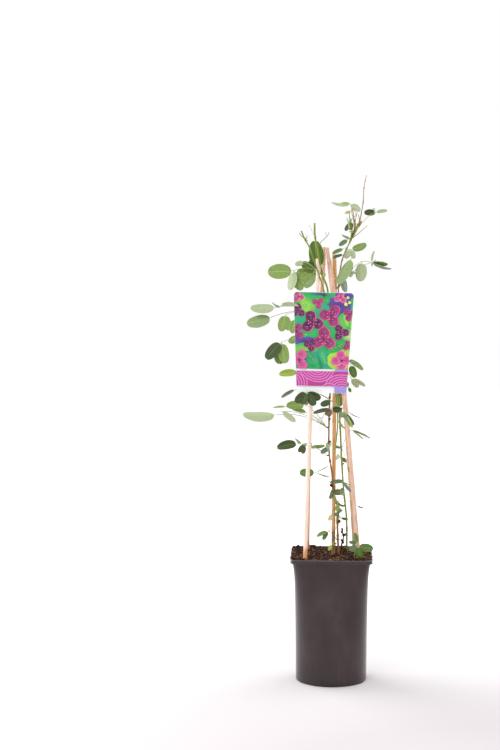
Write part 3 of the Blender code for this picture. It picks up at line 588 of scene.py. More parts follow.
def paint_by(tree, geometry, rules):
    """Set each material where its integer attributes have its values."""
    for material, wanted in rules:
        chosen = None
        for name, value in wanted:
            read = add(tree, "GeometryNodeInputNamedAttribute", {"Name": name}, data_type="INT")
            same = add(tree, "FunctionNodeCompare", {2: read.outputs[0], 3: value}, data_type="INT",
                       operation="EQUAL").outputs[0]
            if chosen is not None:
                same = add(tree, "FunctionNodeBooleanMath", {0: chosen, 1: same},
                           operation="AND").outputs[0]
            chosen = same
        geometry = add(tree, "GeometryNodeSetMaterial",
                       {"Geometry": geometry, "Selection": chosen, "Material": material}).outputs[0]
    return geometry


def sweep_tree(name, rules):
    """Round stalks along lines: girth from the line, surface relief from a drawn-out noise."""
    sockets = (("Sides", "Int"), ("Relief", "Float"), ("Relief size", "Float"),
               ("Relief length", "Float"))
    tree, given, made = geometry_tree(name, sockets)
    feed = given.outputs
    line = add(tree, "GeometryNodeMeshToCurve", {"Mesh": feed["Geometry"]}).outputs[0]
    girth = add(tree, "GeometryNodeInputNamedAttribute", {"Name": "girth"}).outputs[0]
    ring = add(tree, "GeometryNodeCurvePrimitiveCircle",
               {"Resolution": feed["Sides"], "Radius": 1.0}).outputs[0]
    skin = add(tree, "GeometryNodeCurveToMesh",
               {"Curve": line, "Profile Curve": ring, "Scale": girth, "Fill Caps": True}).outputs[0]
    place = add(tree, "GeometryNodeInputPosition").outputs[0]
    across = add(tree, "ShaderNodeMath", {0: 1.0, 1: feed["Relief size"]},
                 operation="DIVIDE").outputs[0]
    upward = add(tree, "ShaderNodeMath", {0: 1.0, 1: feed["Relief length"]},
                 operation="DIVIDE").outputs[0]
    scale = add(tree, "ShaderNodeCombineXYZ", {"X": across, "Y": across, "Z": upward}).outputs[0]
    spread = add(tree, "ShaderNodeVectorMath", {0: place, 1: scale},
                 operation="MULTIPLY").outputs[0]
    lumps = add(tree, "ShaderNodeTexNoise",
                {"Vector": spread, "Scale": 1.0, "Detail": 2.0}).outputs["Fac"]
    centred = add(tree, "ShaderNodeMath", {0: lumps, 1: 0.5}, operation="SUBTRACT").outputs[0]
    rise = add(tree, "ShaderNodeMath", {0: centred, 1: feed["Relief"]},
               operation="MULTIPLY").outputs[0]
    out = add(tree, "GeometryNodeInputNormal").outputs[0]
    push = add(tree, "ShaderNodeVectorMath", {0: out, "Scale": rise}, operation="SCALE").outputs[0]
    rough = add(tree, "GeometryNodeSetPosition", {"Geometry": skin, "Offset": push}).outputs[0]
    even = add(tree, "GeometryNodeSetShadeSmooth", {"Geometry": rough}).outputs[0]
    solid = add(tree, "GeometryNodeRealizeInstances", {"Geometry": even}).outputs[0]
    tree.links.new(paint_by(tree, solid, rules), made.inputs[0])
    return tree


def wood(name, stops, streak, foot, foot_top):
    """Bare cane: fine grain along its length, and a darker, damper foot."""
    material, tree, shader, place = new_material(name, {"Roughness": 0.6, "IOR": 1.45,
                                                        "Specular IOR Level": 0.35})
    fibres = grain(tree, place, 0.0007, (1.0, 1.0, streak), 4.0)
    patches = grain(tree, place, 0.006, (1.0, 1.0, 6.0), 2.0)
    mixed = add(tree, "ShaderNodeMix", {0: 0.45, 2: fibres, 3: patches}).outputs[0]
    height = add(tree, "ShaderNodeSeparateXYZ", {"Vector": place}).outputs["Z"]
    stain = add(tree, "ShaderNodeMath", {0: height, 1: band(tree, patches, -0.004, 0.004)},
                operation="ADD")
    damp = band(tree, stain.outputs[0], 1.0, 0.0, foot_top - 0.004, foot_top + 0.004)
    dry = ramp(tree, mixed, stops)
    wet = ramp(tree, mixed, foot)
    both = add(tree, "ShaderNodeMix", {0: damp, 6: dry, 7: wet}, data_type="RGBA").outputs[2]
    tree.links.new(both, shader.inputs["Base Color"])
    relief(tree, shader, fibres, 0.00015)
    return material


# Split cane, sanded: pale pinkish straw, with a soft sheen and a damp orange foot. The front left
# one is painted nearly white: painted light for the cane that stands in the brightest light.
painted_lit_cane = wood("split cane, painted in bright light", ((0.35, "#E2C3AF"), (0.5, "#F2DACB"), (0.65, "#F8E6DC")),
                  40.0, ((0.35, "#D08D58"), (0.65, "#EFB485")), 0.2310)
pale_cane = wood("split cane, sanded", ((0.35, "#C0967E"), (0.5, "#DBB49E"), (0.65, "#ECCEBC")),
                 40.0, ((0.35, "#B9794C"), (0.65, "#DFA071")), 0.2290)
# Whole cane with its skin: tan with brown streaks, its foot mouldy brown below a knot.
brown_cane = wood("whole cane, weathered", ((0.30, "#AE7440"), (0.5, "#D09A66"), (0.7, "#E8BE93")),
                  25.0, ((0.30, "#5E4526"), (0.5, "#8E6A40"), (0.7, "#B8905E")), 0.2560)
CANE_FINISHES = {"cane_front_left": painted_lit_cane, "cane_middle": brown_cane}

canes = {}
for name, stations in CANES.items():
    places = spline_points([Vector(station) * MM for station in stations], CANE_STEPS)
    places = [places[0] - (places[1] - places[0]).normalized() * SOCKET_DEPTH, *places]
    canes[name] = Limb(places, [CANE_RADIUS] * len(places))
for name, limb in canes.items():
    knots, swell, depth = (), 0.0, CANE_RELIEF
    if name == "cane_middle":
        knots, swell, depth = MIDDLE_KNOTS, MIDDLE_SWELL, MIDDLE_RELIEF
    path, girths = limb.fine(knots, swell)
    girths = [girth * CANE_GIRTH for girth in girths]
    girths[-1] *= CUT_WEAR
    path.insert(-1, path[-1] - (path[-1] - path[-2]).normalized() * CUT_EDGE)
    girths.insert(-1, girths[-2])
    rules = ((CANE_FINISHES.get(name, pale_cane), ()),)
    cane = grow(name + "_wood", lines_mesh(name, [(path, girths, 0)]), sweep_tree(name, rules),
                {"Sides": 18, "Relief": depth, "Relief size": 0.0022, "Relief length": 0.030},
                smooth=50)
    dress(cane, "cane_wood", name)


# ---------------------------------------------------------------- The stems
# Twining stems two or three millimetres thick: an old one with brown, ridged bark, and
# two younger green ones. Each has knots where leaves grew, and the green ones end where
# they were cut. A thin brown shoot goes on from the old stem's tip.

# radius at the foot and at the tip, and the places passed, all in millimetres
STEMS = {
    "woody_stem": (
        1.9,
        0.9,
        (
            (12, -3, 213.3), (10, -4, 256), (9, -8, 299), (3, -10, 318), (0, -9, 352),
            (-5, -6, 390), (-5, -4, 440), (-2, 8, 500), (6, 9, 560), (11, 4, 615),
            (10, -1, 666), (16, -4, 711), (30, -6, 743), (44, -8, 772),
        ),
    ),
    "green_stem": (
        1.3,
        1.2,
        (
            (28, 38, 213.3), (27, 32, 269), (21, 24, 325), (17, 17, 382), (14, 12, 437),
            (10, 19, 490), (-1, 20, 545), (-10, 9, 600), (-8, -8, 635), (-9, -15, 663),
            (-17, -20, 685), (-23, -22, 711), (-30, -23, 749), (-31, -24, 772),
        ),
    ),
    "cross_stem": (
        1.0,
        1.2,
        (
            (4, -12, 386), (8, -12, 420), (9, -11, 450), (4, -11, 500), (-6, -11, 560),
            (-12, -11, 610), (-14, -15, 655), (-28, -23, 699), (-39, -24, 731),
            (-47, -26, 745), (-53, -27, 759),
        ),
    ),
    "top_shoot": (
        0.9,
        0.45,
        ((44.24, -8.03, 772.5), (50, -9, 806), (51, -10, 829), (55, -12, 851)),
    ),
    "dead_twig": (1.3, 0.7, ((19, 20, 213.3), (18, 19, 226), (21, 17, 240), (18, 18, 256))),
    "basal_shoot": (1.0, 0.8, ((36, -50, 213.3), (36, -52, 222), (37, -54, 231))),
}
# heights of the knots that are felt in the solids, in millimetres, and then of all that show
KNOTS = {
    "woody_stem": (291, 341, 373, 405, 443, 666, 711, 743),
    "green_stem": (683, 749),
    "cross_stem": (745,),
}
FINE_KNOTS = {
    "woody_stem": (246, 268, 291, 303, 329, 341, 373, 405, 443, 480, 530, 588, 666, 690, 711, 729,
                   743, 758),
    "green_stem": (252, 306, 365, 428, 500, 565, 640, 683, 749),
    "cross_stem": (420, 470, 540, 600, 660, 705, 745),
    "top_shoot": (806, 829, 842),
    "dead_twig": (222, 234, 244, 252),
    "basal_shoot": (222,),
}
STEM_STEPS = 3
STEM_GIRTHS = {"green_stem": 1.25, "dead_twig": 1.3}  # these two are fuller than their plain rods
STEM_GAP = 0.0003  # clearance between neighbouring solids
CAD_KNOT_SWELL = 1.45
CAD_KNOT_REACH = 0.004  # how far from its middle a knot is felt along a solid stem


def stem_limb(name, neighbours):
    """A stem's tapering centre line, kept clear of the canes and stems beside it."""
    foot_radius, tip_radius, stations = STEMS[name]
    points = spline_points([Vector(station) * MM for station in stations], STEM_STEPS)
    knots = [height * MM for height in KNOTS.get(name, ())]
    plain, felt = [], []
    for index, point in enumerate(points):
        radius = (foot_radius + (tip_radius - foot_radius) * index / (len(points) - 1)) * MM
        near = min([abs(point.z - knot) for knot in knots], default=1.0)
        plain.append(radius)
        felt.append(radius * (CAD_KNOT_SWELL if near < CAD_KNOT_REACH else 1.0))
    for index in range(1, len(points)):
        for limb in neighbours:
            distance, nearest, reach = limb.nearest(points[index])
            room = reach + felt[index] + 2 * STEM_GAP
            if distance < room:
                away = points[index] - nearest
                away.z = 0.0
                points[index] = points[index] + away.normalized() * (room - distance)
    return Limb(points, felt), Limb(points, plain)


def bark(name, stops, roughness, size, depth, ridge=8.0):
    """Stem bark: streaks of colour along the stem and fine ridges."""
    material, tree, shader, place = new_material(name, {"IOR": 1.4})
    streaks = grain(tree, place, size, (1.0, 1.0, ridge), 4.0)
    tree.links.new(ramp(tree, streaks, stops), shader.inputs["Base Color"])
    tree.links.new(band(tree, streaks, roughness + 0.08, roughness - 0.08),
                   shader.inputs["Roughness"])
    relief(tree, shader, grain(tree, place, size * 0.5, (1.0, 1.0, ridge)), depth)
    return material


# Old bark is dull brown with paler ridges. Young bark is smooth green, waxy and yellowish,
# and browns as it ripens. A dead twig is dark, dry and cracked.
old_bark = bark("woody bark, ridged", ((0.3, "#4E331D"), (0.5, "#8A6232"), (0.7, "#B98F5C")),
                0.80, 0.0012, 0.0004)
green_bark = bark("young green bark", ((0.3, "#5A6616"), (0.5, "#788426"), (0.7, "#9AA444")),
                  0.50, 0.0016, 0.0001)
shoot_bark = bark("brown shoot bark", ((0.3, "#6B4A3A"), (0.5, "#94705A"), (0.7, "#B59A80")),
                  0.6, 0.0012, 0.0002)
dead_bark = bark("dead twig, dry", ((0.3, "#2B1A12"), (0.5, "#4C3022"), (0.7, "#6A4A36")),
                 0.9, 0.0012, 0.0005)
# finish, slot, depth of the bark's relief, and how far a knot stands out
STEM_LOOKS = {
    "woody_stem": (old_bark, "woody_bark", 0.0011, 0.42),
    "green_stem": (green_bark, "green_bark", 0.0002, 0.30),
    "cross_stem": (green_bark, "green_bark", 0.0002, 0.30),
    "top_shoot": (shoot_bark, "shoot_bark", 0.0002, 0.55),
    "dead_twig": (dead_bark, "dead_wood", 0.0012, 0.75),
    "basal_shoot": (green_bark, "green_bark", 0.0001, 0.20),
}

limbs = {}
slim_limbs = {}
for name in STEMS:
    limbs[name], slim_limbs[name] = stem_limb(name, [*canes.values(), *limbs.values()])
for name, (finish, slot, depth, swell) in STEM_LOOKS.items():
    path, girths = slim_limbs[name].fine([height * MM for height in FINE_KNOTS[name]], swell)
    girths = [girth * STEM_GIRTHS.get(name, 1.0) for girth in girths]
    stem = grow(name + "_bark", lines_mesh(name, [(path, girths, 0)]),
                sweep_tree(name, ((finish, ()),)),
                {"Sides": 12, "Relief": depth, "Relief size": 0.0014, "Relief length": 0.006},
                smooth=55)
    dress(stem, slot, name)


# ---------------------------------------------------------------- The leaves
# Each leaf is a long thin stalk with a few oval leaflets spread from its end, each on a
# short stalk of its own. The blades are thin, blunt or slightly notched at the tip, deep
# green and faintly waxy above, and pale sage below. Young ones are yellow-green.

# The dark tone d partly stands for leaflets in shade, as painted shade, and the light tone l partly
# for leaflets in full light, as painted light.
# tone: upper side, underside, midrib, and whether the underside faces the viewer
TONES = {
    "d": ("#3A4A20", "#8A9E74", "#62763F", False),
    "m": ("#587332", "#9DB07C", "#7F954E", False),
    "e": ("#4F7022", "#9DB07C", "#7F954E", False),
    "l": ("#7F994E", "#AEBE8C", "#A6B877", False),
    "y": ("#90AA32", "#B6C578", "#BBCB78", False),
    "g": ("#5A6F4E", "#8C9F7C", "#80936C", False),
    "b": ("#71887A", "#A1B1A2", "#98AA9A", False),
    "o": ("#6C6C42", "#88885F", "#8E8E60", False),
    "s": ("#C6BD88", "#CFC9A0", "#D8D2AC", False),
    "w": ("#74664C", "#8A7A60", "#5F5038", False),
    "p": ("#587332", "#A6B48C", "#B9C59C", True),
    "q": ("#587332", "#8AA06C", "#A0B383", True),
}
LEAF_TONES = list(TONES)
STALK_SAG = 0.10
STALK_BENDS = 14
STALK_FOOT = 0.00085  # radii of a stalk: at its root, along it and at its hub
STALK_RADIUS = 0.00055
STALK_THINNING = 0.00012
STALK_HUB = 0.00065
STALK_ROOT = 0.0022  # a stalk leaves its cushion this far out
FLUSHED_SHARE = 0.3  # of the stalks, these have gone brown
PETIOLULE_RADII = (0.00055, 0.00042, 0.00050)
CUSHION = ((-0.0006, 0.0017), (0.0012, 0.0015), (0.0030, 0.0007))  # how far out, and radius
SPUR_LENGTH = 0.0040
SHIFT_STEP = 0.005  # a leaf was moved by steps of this, to keep clear of its neighbours
SHIFT_TRIES = 7
SEED = 7
LEAF_MATCH = 0.0010  # a leaflet's tip is found in the solid within this distance
PETIOLULE = 0.10  # the share of a leaflet's length that is its own stalk
LEAF_SHAPES = 8
LEAF_ROWS = 11
BLADE_COLUMNS = (-1.0, -0.72, -0.38, -0.045, 0.045, 0.38, 0.72, 1.0)  # shares of the half width
BLADE_HALF_WIDTH = 0.285  # this and the next are shares of the length
BLADE_HALF_THICKNESS = 0.0045

# Foliage masses: the stem that carries each, the spur's height, and its leaves. A leaf is
# the place of its hub in millimetres, its leaflets' tones and its leaflets. A leaflet is
# its bearing in the front view, its length, how far its face turns from the viewer and
# how far it points towards the viewer.
MASSES = {
    "foliage_crown": ("woody_stem", 757, (
        ((29, -14, 803), "pyp", ((180, 32, 72, 5), (168, 16, 60, -10), (-34, 20, 20, 10))),
        ((30, -12, 791), "ss", ((195, 11, 35, 0), (75, 7, 40, 0))),
        ((72, 10, 790), "dpdm", ((182, 19, 0, 5), (9, 20, 58, -5), (205, 11, 10, 10),
                                 (170, 24, 10, -72))),
        ((33, 18, 773), "ddmm", ((229, 18, 40, -5), (262, 13, 30, 5), (300, 22, 50, -75),
                                 (200, 24, 40, -70))),
        ((27, -16, 757), "l", ((98, 25, 78, 0),)),
    )),
    "foliage_upper_right": ("woody_stem", 727, (
        ((30, -16, 728), "lpp", ((18, 27, 34, 10), (235, 18, 0, 5), (-69, 16, 20, 5))),
        ((17, -30, 730), "m", ((205, 21, 57, 10),)),
        ((17, -30, 720), "d", ((194, 19, 65, 0),)),
    )),
    "foliage_top_back": ("woody_stem", 740, (
        ((27, 26, 744), "gm", ((212, 18, 45, 0), (120, 28, 50, -70))),
    )),
    "foliage_right": ("woody_stem", 672, (
        ((31, -26, 715), "q", ((240, 50, 55, 5),)),
        ((48, -8, 708), "p", ((267, 33, 12, 0),)),
        ((66, 6, 706), "qlgm", ((83, 20, 66, 0), (-7, 27, 58, 10), (-21, 35, 77, 0),
                                (-15, 24, 20, -72))),
        ((35, 26, 691), "ppm", ((187, 14, 0, -10), (247, 11, 20, 0), (310, 28, 40, -72))),
        ((21, 40, 680), "bm", ((-86, 25, 41, 0), (200, 28, 40, -70))),
    )),
    "foliage_upper_left": ("cross_stem", 694, (
        ((-65, -14, 693), "lpl", ((183, 43, 0, 0), (261, 35, 39, 20), (-70, 35, 22, 10))),
        ((-48, -4, 707), "p", ((196, 15, 10, 0),)),
    )),
    "foliage_upper_middle": ("green_stem", 683, (
        ((-25, 2, 694), "ed", ((95, 49, 22, 0), (250, 16, 30, -20))),
        ((-27, -8, 694), "d", ((123, 20, 42, 0),)),
        ((-29, 5, 690), "mllqm", ((145, 28, 28, -5), (182, 31, 0, -10), (205, 29, 10, 5),
                                  (237, 32, 20, 10), (120, 30, 40, -70))),
        ((-28, 36, 690), "dm", ((110, 34, 30, -60), (200, 30, 40, -65))),
    )),
    "foliage_label_left_high": ("cross_stem", 618, (
        ((-94, -12, 632), "pm", ((185, 43, 55, 0), (100, 26, 40, -75))),
        ((-101, -12, 616), "q", ((195, 44, 43, 8),)),
        ((-87, -20, 635), "p", ((6, 33, 60, 24),)),
        ((-79, -15, 620), "ll", ((255, 29, 10, 0), (-78, 27, 20, 5))),
        ((-62, 4, 612), "lm", ((256, 25, 30, 0), (40, 28, 40, -40))),
    )),
    "foliage_label_left_low": ("cross_stem", 575, (
        ((-85, -12, 574), "dml", ((226, 38, 28, 5), (264, 37, 0, 0), (-80, 36, 12, 8))),
        ((-51, 8, 582), "l", ((202, 24, 0, 0),)),
        ((-56, 12, 521), "ym", ((181, 33, 55, 0), (60, 30, 50, -40))),
    )),
    "foliage_label_right": ("woody_stem", 548, (
        ((25, -2, 544), "q", ((-30, 32, 62, 5),)),
        ((31, 0, 535), "e", ((-71, 23, 0, 0),)),
        ((33, 20, 510), "pp", ((-24, 27, 60, 0), (-48, 19, 15, 5))),
        ((28, 6, 497), "em", ((-67, 9, 0, 0), (150, 30, 40, -50))),
    )),
    "foliage_below_label": ("cross_stem", 470, (
        ((-62, -40, 496), "d", ((210, 27, 72, 0),)),
        ((-44, -42, 493), "dddd", ((222, 25, 0, 5), (250, 22, 10, 15), (-28, 26, 20, 0),
                                   (-58, 26, 12, 8))),
        ((-3, -42, 478), "d", ((200, 19, 0, 5),)),
        ((-3, -42, 465), "dwwdd", ((191, 31, 73, 0), (222, 15, 0, 20), (250, 14, 20, 10),
                                   (-6, 18, 0, 5), (3, 21, 72, -5))),
    )),
    "foliage_below_label_back": ("green_stem", 470, (
        ((19, 40, 492), "emm", ((258, 32, 30, 0), (150, 30, 40, -50), (200, 26, 30, -72))),
        ((14, 22, 437), "l", ((-58, 15, 63, 0),)),
    )),
    "foliage_pale_left": ("woody_stem", 430, (
        ((-45, -10, 468), "lm", ((179, 32, 45, 5), (100, 26, 30, -75))),
        ((-42, -10, 455), "l", ((164, 28, 68, 0),)),
        ((-92, -12, 452), "p", ((182, 58, 67, 5),)),
        ((-85, -16, 458), "p", ((-35, 29, 50, 5),)),
        ((-77, -4, 465), "l", ((182, 22, 78, 0),)),
    )),
    "foliage_middle_left": ("woody_stem", 383, (
        ((-57, -8, 403), "dm", ((187, 36, 51, 5), (100, 26, 50, -75))),
        ((-47, -10, 402), "dd", ((235, 16, 0, 0), (262, 16, 10, 5))),
        ((-37, 18, 396), "lgm", ((5, 26, 55, 0), (-35, 10, 75, 0), (150, 30, 50, -72))),
    )),
    "foliage_middle_front": ("woody_stem", 400, (
        ((-6, -40, 400), "gm", ((210, 17, 25, 10), (150, 26, 50, 72))),
    )),
    "foliage_middle_right": ("green_stem", 392, (
        ((2, 32, 396), "gm", ((-22, 16, 54, 0), (200, 28, 40, -70))),
        ((33, 4, 425), "qq", ((-25, 35, 78, 5), (-38, 26, 74, -5))),
        ((16, 44, 373), "gm", ((-32, 15, 30, 0), (195, 24, 40, -68))),
        ((27, 12, 360), "lm", ((-55, 12, 30, 0), (20, 10, 60, -30))),
    )),
    "foliage_right_cane": ("cross_stem", 440, (
        ((19, -38, 459), "bym", ((-54, 26, 48, 0), (-64, 29, 64, -6), (200, 26, 40, 74))),
        ((26, -38, 460), "g", ((-32, 21, 80, 0),)),
    )),
    "foliage_low_left": ("woody_stem", 338, (
        ((-28, -14, 355), "mgg", ((182, 27, 0, -8), (30, 25, 76, 10), (-18, 27, 74, 5))),
    )),
    "foliage_low_front": ("woody_stem", 318, (
        ((19, -34, 342), "gbg", ((181, 19, 58, 0), (-57, 22, 58, 0), (-30, 15, 76, 5))),
        ((19, -34, 325), "om", ((181, 19, 0, 0), (150, 24, 40, 72))),
        ((0, -32, 323), "omm", ((245, 11, 0, 0), (-70, 16, 69, 0), (100, 24, 40, 72))),
        ((9, -28, 304), "lg", ((268, 13, 0, 0), (-20, 12, 50, 10))),
        ((12, -28, 288), "gg", ((195, 10, 10, 5), (80, 9, 30, 0))),
        ((-1, -24, 286), "s", ((249, 12, 0, 0),)),
    )),
    "foliage_low_back": ("green_stem", 300, (
        ((17, 34, 270), "bm", ((-17, 14, 45, 0), (210, 26, 40, -68))),
        ((45, 32, 292), "gg", ((-25, 13, 62, 0), (-20, 19, 82, 0))),
    )),
    "foliage_foot_left": ("woody_stem", 240, (
        ((-7, -30, 258), "mms", ((200, 21, 62, 5), (237, 17, 48, 8), (40, 5, 40, 0))),
        ((0, -24, 234), "yy", ((23, 8, 20, 0), (235, 11, 40, 0))),
    )),
    "foliage_foot_right": ("basal_shoot", 228, (
        ((41, -56, 237), "meg", ((-8, 26, 0, 5), (-75, 24, 30, 8), (195, 17, 10, 20))),
        ((40, -53, 242), "mg", ((105, 18, 38, 5), (170, 14, 50, 10))),
    )),
}
BACK_MASSES = {"foliage_back_low": ("woody_stem", 512), "foliage_back_high": ("green_stem", 590)}
BACK_LEAVES = 3
BACK_REACH = 50  # millimetres from the stem to a hub
BACK_RISE = 18
BACK_ARC = (68, 128)  # bearings in plan, degrees from +X towards +Y
BACK_LEAFLETS = 4
BACK_LEAFLET_LENGTH = 31


def back_leaves(limb, height, source):
    """Leaves round the hidden side of a stem: hubs on an arc, leaflets in a fan."""
    centre, _ = limb.at_height(height * MM)
    leaves = []
    for index in range(BACK_LEAVES):
        share = index / (BACK_LEAVES - 1)
        plan = math.radians(BACK_ARC[0] + (BACK_ARC[1] - BACK_ARC[0]) * share)
        reach = BACK_REACH * source.uniform(0.75, 1.1)
        hub = (centre.x / MM + reach * math.cos(plan), centre.y / MM + reach * math.sin(plan),
               height + BACK_RISE * source.uniform(-1.0, 1.6))
        first = source.uniform(0, 360)
        leaflets = tuple((first + 360 / BACK_LEAFLETS * fan,
                          BACK_LEAFLET_LENGTH * source.uniform(0.75, 1.1),
                          source.uniform(-30, 30), source.uniform(-45, 10))
                         for fan in range(BACK_LEAFLETS))
        leaves.append((hub, "mlgm"[index] * BACK_LEAFLETS, leaflets))
    return leaves


def leaflet_axes(leaflet):
    """A leaflet's length along its middle, its direction and the way its face looks."""
    bearing, length, turn, towards = leaflet
    bearing, turn, towards = map(math.radians, (bearing, turn, towards))
    along = Vector((math.cos(bearing) * math.cos(towards), -math.sin(towards),
                    math.sin(bearing) * math.cos(towards)))
    viewer = Vector((0.0, -1.0, 0.0))
    flat = (viewer - along * viewer.dot(along)).normalized()
    return length * MM, along, Matrix.Rotation(turn, 3, along) @ flat


def place_leaves(name, stem, height, leaves):
    """Find where the solids of a mass stand: its stem's middle, its spur and its leaves."""
    corners = frame["nodes"][name].data.vertices
    solid = KDTree(len(corners))
    for index, corner in enumerate(corners):
        solid.insert(corner.co, index)
    solid.balance()
    centre, radius = limbs[stem].at_height(height * MM)
    near = [place for place, _, _ in solid.find_range(centre, radius + SPUR_LENGTH)]
    outward = sum((place - centre for place in near), Vector()) if near else Vector((0.0, -1.0,
                                                                                     0.0))
    outward.z = 0.0
    root = centre + outward.normalized() * radius
    found = []
    for hub, tones, leaflets in leaves:
        axes = [leaflet_axes(leaflet) for leaflet in leaflets]
        for trial in range(SHIFT_TRIES):
            shift = SHIFT_STEP * ((trial + 1) // 2) * (1 if trial % 2 else -1)
            place = Vector(hub) * MM + Vector((0.0, shift, 0.0))
            if all(solid.find(place + along * length)[2] < LEAF_MATCH for length, along, _ in axes):
                found.append((place, tones, axes))
                break
    return centre, root, found


def leaflet_shape(index, source):
    """One leaflet a metre long: a blunt oval blade, folded, bowed and waved, with a midrib."""
    blunt = source.uniform(0.42, 0.50)
    widest = source.uniform(0.86, 1.02)
    fold = source.uniform(0.06, 0.20)
    bow = source.uniform(-0.02, 0.16)
    wave = source.uniform(0.0, 0.010)
    beat = source.uniform(2.0, 3.4)
    sway = source.uniform(-0.05, 0.05)
    notch = source.uniform(0.004, 0.022)
    columns = BLADE_COLUMNS
    bm = bmesh.new()
    side = bm.faces.layers.int.new("side")
    sheets = []
    for layer, thick in enumerate((BLADE_HALF_THICKNESS, -BLADE_HALF_THICKNESS)):
        rows = []
        for row in range(LEAF_ROWS):
            s = (1 - math.cos(math.pi * (row + 0.35) / (LEAF_ROWS - 0.3))) / 2
            t = s ** widest
            half = BLADE_HALF_WIDTH * (4 * t * (1 - t)) ** blunt
            line = []
            for column in columns:
                y = half * column
                x = PETIOLULE + (1 - PETIOLULE) * s
                x -= notch * (1 - abs(column)) * max(0.0, 8 * s - 7)
                z = fold * abs(y) - bow * (s - 0.2) ** 2
                z += wave * abs(column) ** 2 * math.sin(math.tau * beat * s)
                z += 0.005 * (1 - abs(column)) * math.sin(s * math.tau * 5) * (abs(column) > 0.2)
                z -= 0.006 * (abs(column) < 0.2)
                edge = 0.35 if abs(column) == 1.0 else 1.0
                line.append(bm.verts.new((x, y + sway * s * (1 - s), z + thick * edge)))
            rows.append(line)
        base = bm.verts.new((PETIOLULE - 0.004, 0.0, bow * -0.04 + thick))
        for lower, upper in zip(rows, rows[1:]):
            for column in range(len(columns) - 1):
                face = bm.faces.new((lower[column], lower[column + 1], upper[column + 1],
                                     upper[column]))
                face[side] = 2 if column == 3 else layer
        for column in range(len(columns) - 1):
            face = bm.faces.new((base, rows[0][column + 1], rows[0][column]))
            face[side] = 2 if column == 3 else layer
        sheets.append((base, rows))
    (base_over, over), (base_under, under) = sheets
    for column in (0, -1):
        edge_over = [base_over] + [row[column] for row in over]
        edge_under = [base_under] + [row[column] for row in under]
        for step in range(len(edge_over) - 1):
            bm.faces.new((edge_over[step], edge_over[step + 1], edge_under[step + 1],
                          edge_under[step]))
    for column in range(len(columns) - 1):
        bm.faces.new((over[-1][column], over[-1][column + 1], under[-1][column + 1],
                      under[-1][column]))
    shape = as_piece("leaflet_shape_%d" % index, bm, [], smooth=70)
    bpy.context.scene.collection.objects.unlink(shape)
    return shape


def spots_mesh(name, spots):
    """Points that carry a direction, a face, a size, the shape to stand there and its tone."""
    mesh = bpy.data.meshes.new(name)
    mesh.from_pydata([spot[0] for spot in spots], [], [])
    for column, label in ((1, "along"), (2, "face"), (3, "size")):
        values = [number for spot in spots for number in spot[column]]
        mesh.attributes.new(label, "FLOAT_VECTOR", "POINT").data.foreach_set("vector", values)
    for column, label in ((4, "shape"), (5, "tone")):
        values = [spot[column] for spot in spots]
        mesh.attributes.new(label, "INT", "POINT").data.foreach_set("value", values)
    return mesh


def set_out_tree(name, shapes, rules, along, face):
    """Shapes set out on points: each is aimed along its own line, with its face turned."""
    tree, given, made = geometry_tree(name, ())

    def read(label, kind):
        return add(tree, "GeometryNodeInputNamedAttribute", {"Name": label},
                   data_type=kind).outputs[0]

    pick = add(tree, "GeometryNodeCollectionInfo",
               {"Collection": shapes, "Separate Children": True, "Reset Children": True}).outputs[0]
    aim = add(tree, "FunctionNodeAxesToRotation",
              {"Primary Axis": read("along", "FLOAT_VECTOR"),
               "Secondary Axis": read("face", "FLOAT_VECTOR")},
              primary_axis=along, secondary_axis=face).outputs[0]
    points = add(tree, "GeometryNodeMeshToPoints", {"Mesh": given.outputs["Geometry"]}).outputs[0]
    stood = add(tree, "GeometryNodeInstanceOnPoints",
                {"Points": points, "Instance": pick, "Pick Instance": True,
                 "Instance Index": read("shape", "INT"), "Rotation": aim,
                 "Scale": read("size", "FLOAT_VECTOR")}).outputs[0]
    solid = add(tree, "GeometryNodeRealizeInstances", {"Geometry": stood}).outputs[0]
    even = add(tree, "GeometryNodeSetShadeSmooth", {"Geometry": solid}).outputs[0]
    tree.links.new(paint_by(tree, even, rules), made.inputs[0])
    return tree


def leaf_skin(name, code, gloss, mottle):
    """Leaf skin: one base colour with a light mottle, waxy above and dull below."""
    material, tree, shader, place = new_material(name, {"IOR": 1.40, "Roughness": gloss})
    cells = grain(tree, place, 0.0035, detail=4.0)
    shade = band(tree, cells, 1 - mottle, 1 + mottle)
    tint = add(tree, "ShaderNodeHueSaturation", {"Color": linear(code), "Value": shade})
    tree.links.new(tint.outputs[0], shader.inputs["Base Color"])
    relief(tree, shader, grain(tree, place, 0.0012), 0.00025)
    return material


source = random.Random(SEED)
masses = dict(MASSES)
for name, (stem, height) in BACK_MASSES.items():
    masses[name] = (stem, height, back_leaves(limbs[stem], height, source))

# Fibrous green stalks, some flushed brown near the old stem; the spur at each root is
# the woody cushion that leaves grow from year after year.
stalk_green = bark("leaf stalk, green", ((0.3, "#8FA35E"), (0.7, "#B5C587")), 0.5, 0.0012, 0.00005)
stalk_brown = bark("leaf stalk, flushed", ((0.3, "#7A6A4A"), (0.7, "#A8A070")),
                   0.5, 0.0012, 0.00005)
cushion_bark = bark("spur cushion, scaly", ((0.3, "#4E3524"), (0.7, "#8A6548")),
                    0.85, 0.0008, 0.0004, 1.5)

